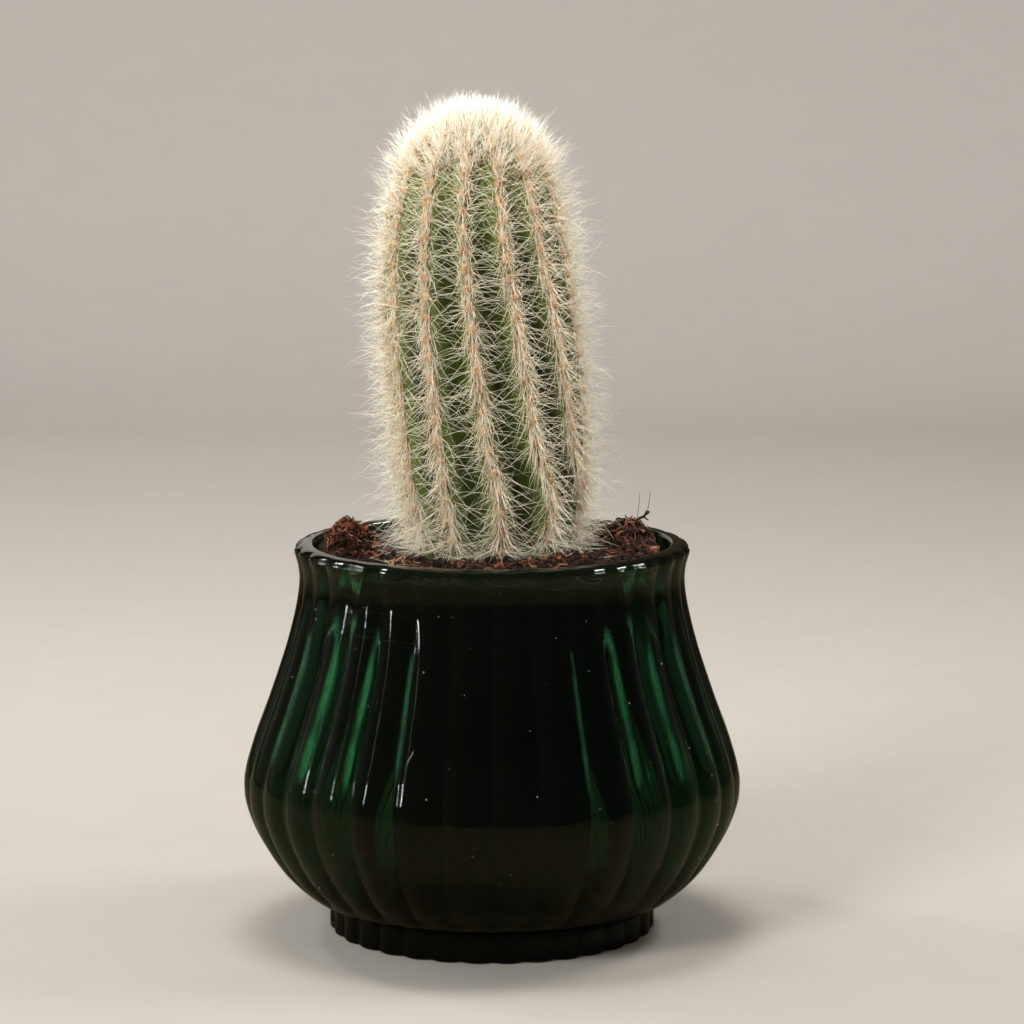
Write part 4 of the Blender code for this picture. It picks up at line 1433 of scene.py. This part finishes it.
index = np.repeat(np.arange(len(foot)), WOOL)
total = len(index)
turn = draw.uniform(0, math.tau, total)[:, None]
tilt = np.radians(draw.uniform(*WOOL_LEAN, total))[:, None]
flat_way = side[index] * np.cos(turn) + up[index] * np.sin(turn)
directions = unit(away[index] * np.cos(tilt) + flat_way * np.sin(tilt))
roots = foot[index] + away[index] * WOOL_OUT + flat_way * WOOL_ASIDE
lengths = draw.uniform(*WOOL_LENGTH, total) * MM
wool_look = dict(curl=0.2, thickness=(0.10, 0.17), warmth=0.8, bends=3)
bristles("pad_wool", roots, directions, lengths, wool_hairs, **wool_look)

# %% [markdown]
# Between the tufts of the crown the skin is hidden by warm cream wool. A thousand short hairs, spread
# round the shoulders at any angle, close the gaps that the tufts leave.

# %% Wool on the crown
CROWN_WOOL = 1000
CROWN_WOOL_REACH = (6 * MM, 20 * MM)
CROWN_WOOL_LENGTH = (1.8, 4.2)
CROWN_WOOL_UPRIGHT, CROWN_WOOL_SPREAD = 0.4, 0.35

reach = draw.uniform(*CROWN_WOOL_REACH, CROWN_WOOL)
round_stem = draw.uniform(0, math.tau, CROWN_WOOL)
roots, outward, _, _ = frames_at(round_stem, height_along(along_skin[-1] - reach))
leaning = outward + [0, 0, CROWN_WOOL_UPRIGHT]
directions = unit(leaning + draw.normal(0, CROWN_WOOL_SPREAD, (CROWN_WOOL, 3)))
lengths = draw.uniform(*CROWN_WOOL_LENGTH, CROWN_WOOL) * MM
wool_look = dict(curl=0.25, thickness=(0.11, 0.20), warmth=0.4, bends=3)
bristles("crown_wool", roots, directions, lengths, crest_cream, **wool_look)

# %% [markdown]
# ## Small traces of use
# A few old bristles have dropped on the soil. Specks of dust stand on the glass, where the light picks
# them out, and one hair of lint clings to its front.

# %% Fallen bristles
FALLEN = 60
FALLEN_ON = (22 * MM, 36 * MM)
FALLEN_LENGTH = (4.0, 9.0)
FALLEN_TILT = (0.0, 0.35)

places = on_soil(FALLEN, *FALLEN_ON)
turn = draw.uniform(0, math.tau, FALLEN)
lengths = draw.uniform(*FALLEN_LENGTH, FALLEN) * MM
directions = unit(np.stack([np.cos(turn), np.sin(turn), draw.uniform(*FALLEN_TILT, FALLEN)], axis=-1))
places[:, 2] += SOIL_CLEARANCE
fallen_look = dict(curl=0.03, thickness=(0.09, 0.14), warmth=0.8)
bristles("fallen_bristles", places, directions, lengths, cream, **fallen_look)


# %% Points on the glass
def on_glass(azimuth, height):
    """A point on the outside of the glass."""
    outline = glass_curve[:lip_start]
    within = np.abs((azimuth * LOBES / math.tau - 0.5) % 1.0 * 2 - 1)
    radius = np.interp(height, outline[:, 1], outline[:, 0]) - lobe_depth(height) * crease(1 - within)
    return np.stack([radius * np.sin(azimuth), -radius * np.cos(azimuth), height], axis=-1)


# %% Dust and lint on the glass
SPECKS = 130
SPECK_SIZE = (0.07, 0.16)
SPECK_HEIGHTS = (14 * MM, 86 * MM)
LINT = [(-19.4, 50.9), (-19.0, 51.9), (-18.5, 52.7), (-18.3, 53.6)]  # across and up, at the front
LINT_RADIUS = 56 * MM  # of the glass at that height
LINT_LIFT, LINT_THICKNESS = 0.1 * MM, 0.05 * MM
ASH_DARK, ASH_PALE = (0.30, 0.30, 0.27, 1), (0.62, 0.62, 0.58, 1)

places = on_glass(draw.uniform(0, math.tau, SPECKS), draw.uniform(*SPECK_HEIGHTS, SPECKS))
size = between(SPECK_SIZE, draw.uniform(0, 1, SPECKS) ** 3) * MM
points, faces = lumps(places, size, 1, UNEVEN)
lint_spots = smooth_curve(LINT, 4) * MM
lint_path = on_glass(np.arcsin(lint_spots[:, 0] / LINT_RADIUS), lint_spots[:, 1])
lint_path *= 1 + LINT_LIFT / np.linalg.norm(lint_path[:, :2], axis=1, keepdims=True)
lint_points, lint_faces, _ = tubes(lint_path[None], np.full((1, len(lint_path)), LINT_THICKNESS))

dust, tree, shader = new_material("dust", 0.9)
ash = use_group(tree, mottled, Dark=ASH_DARK, Pale=ASH_PALE, Coarse=400.0, Fine=2000.0)
link(tree, ash.outputs["Color"], shader.inputs["Base Color"])
make_piece("dust_specks", points.reshape(-1, 3), faces, dust)
make_piece("lint", lint_points.reshape(-1, 3), lint_faces, dust)
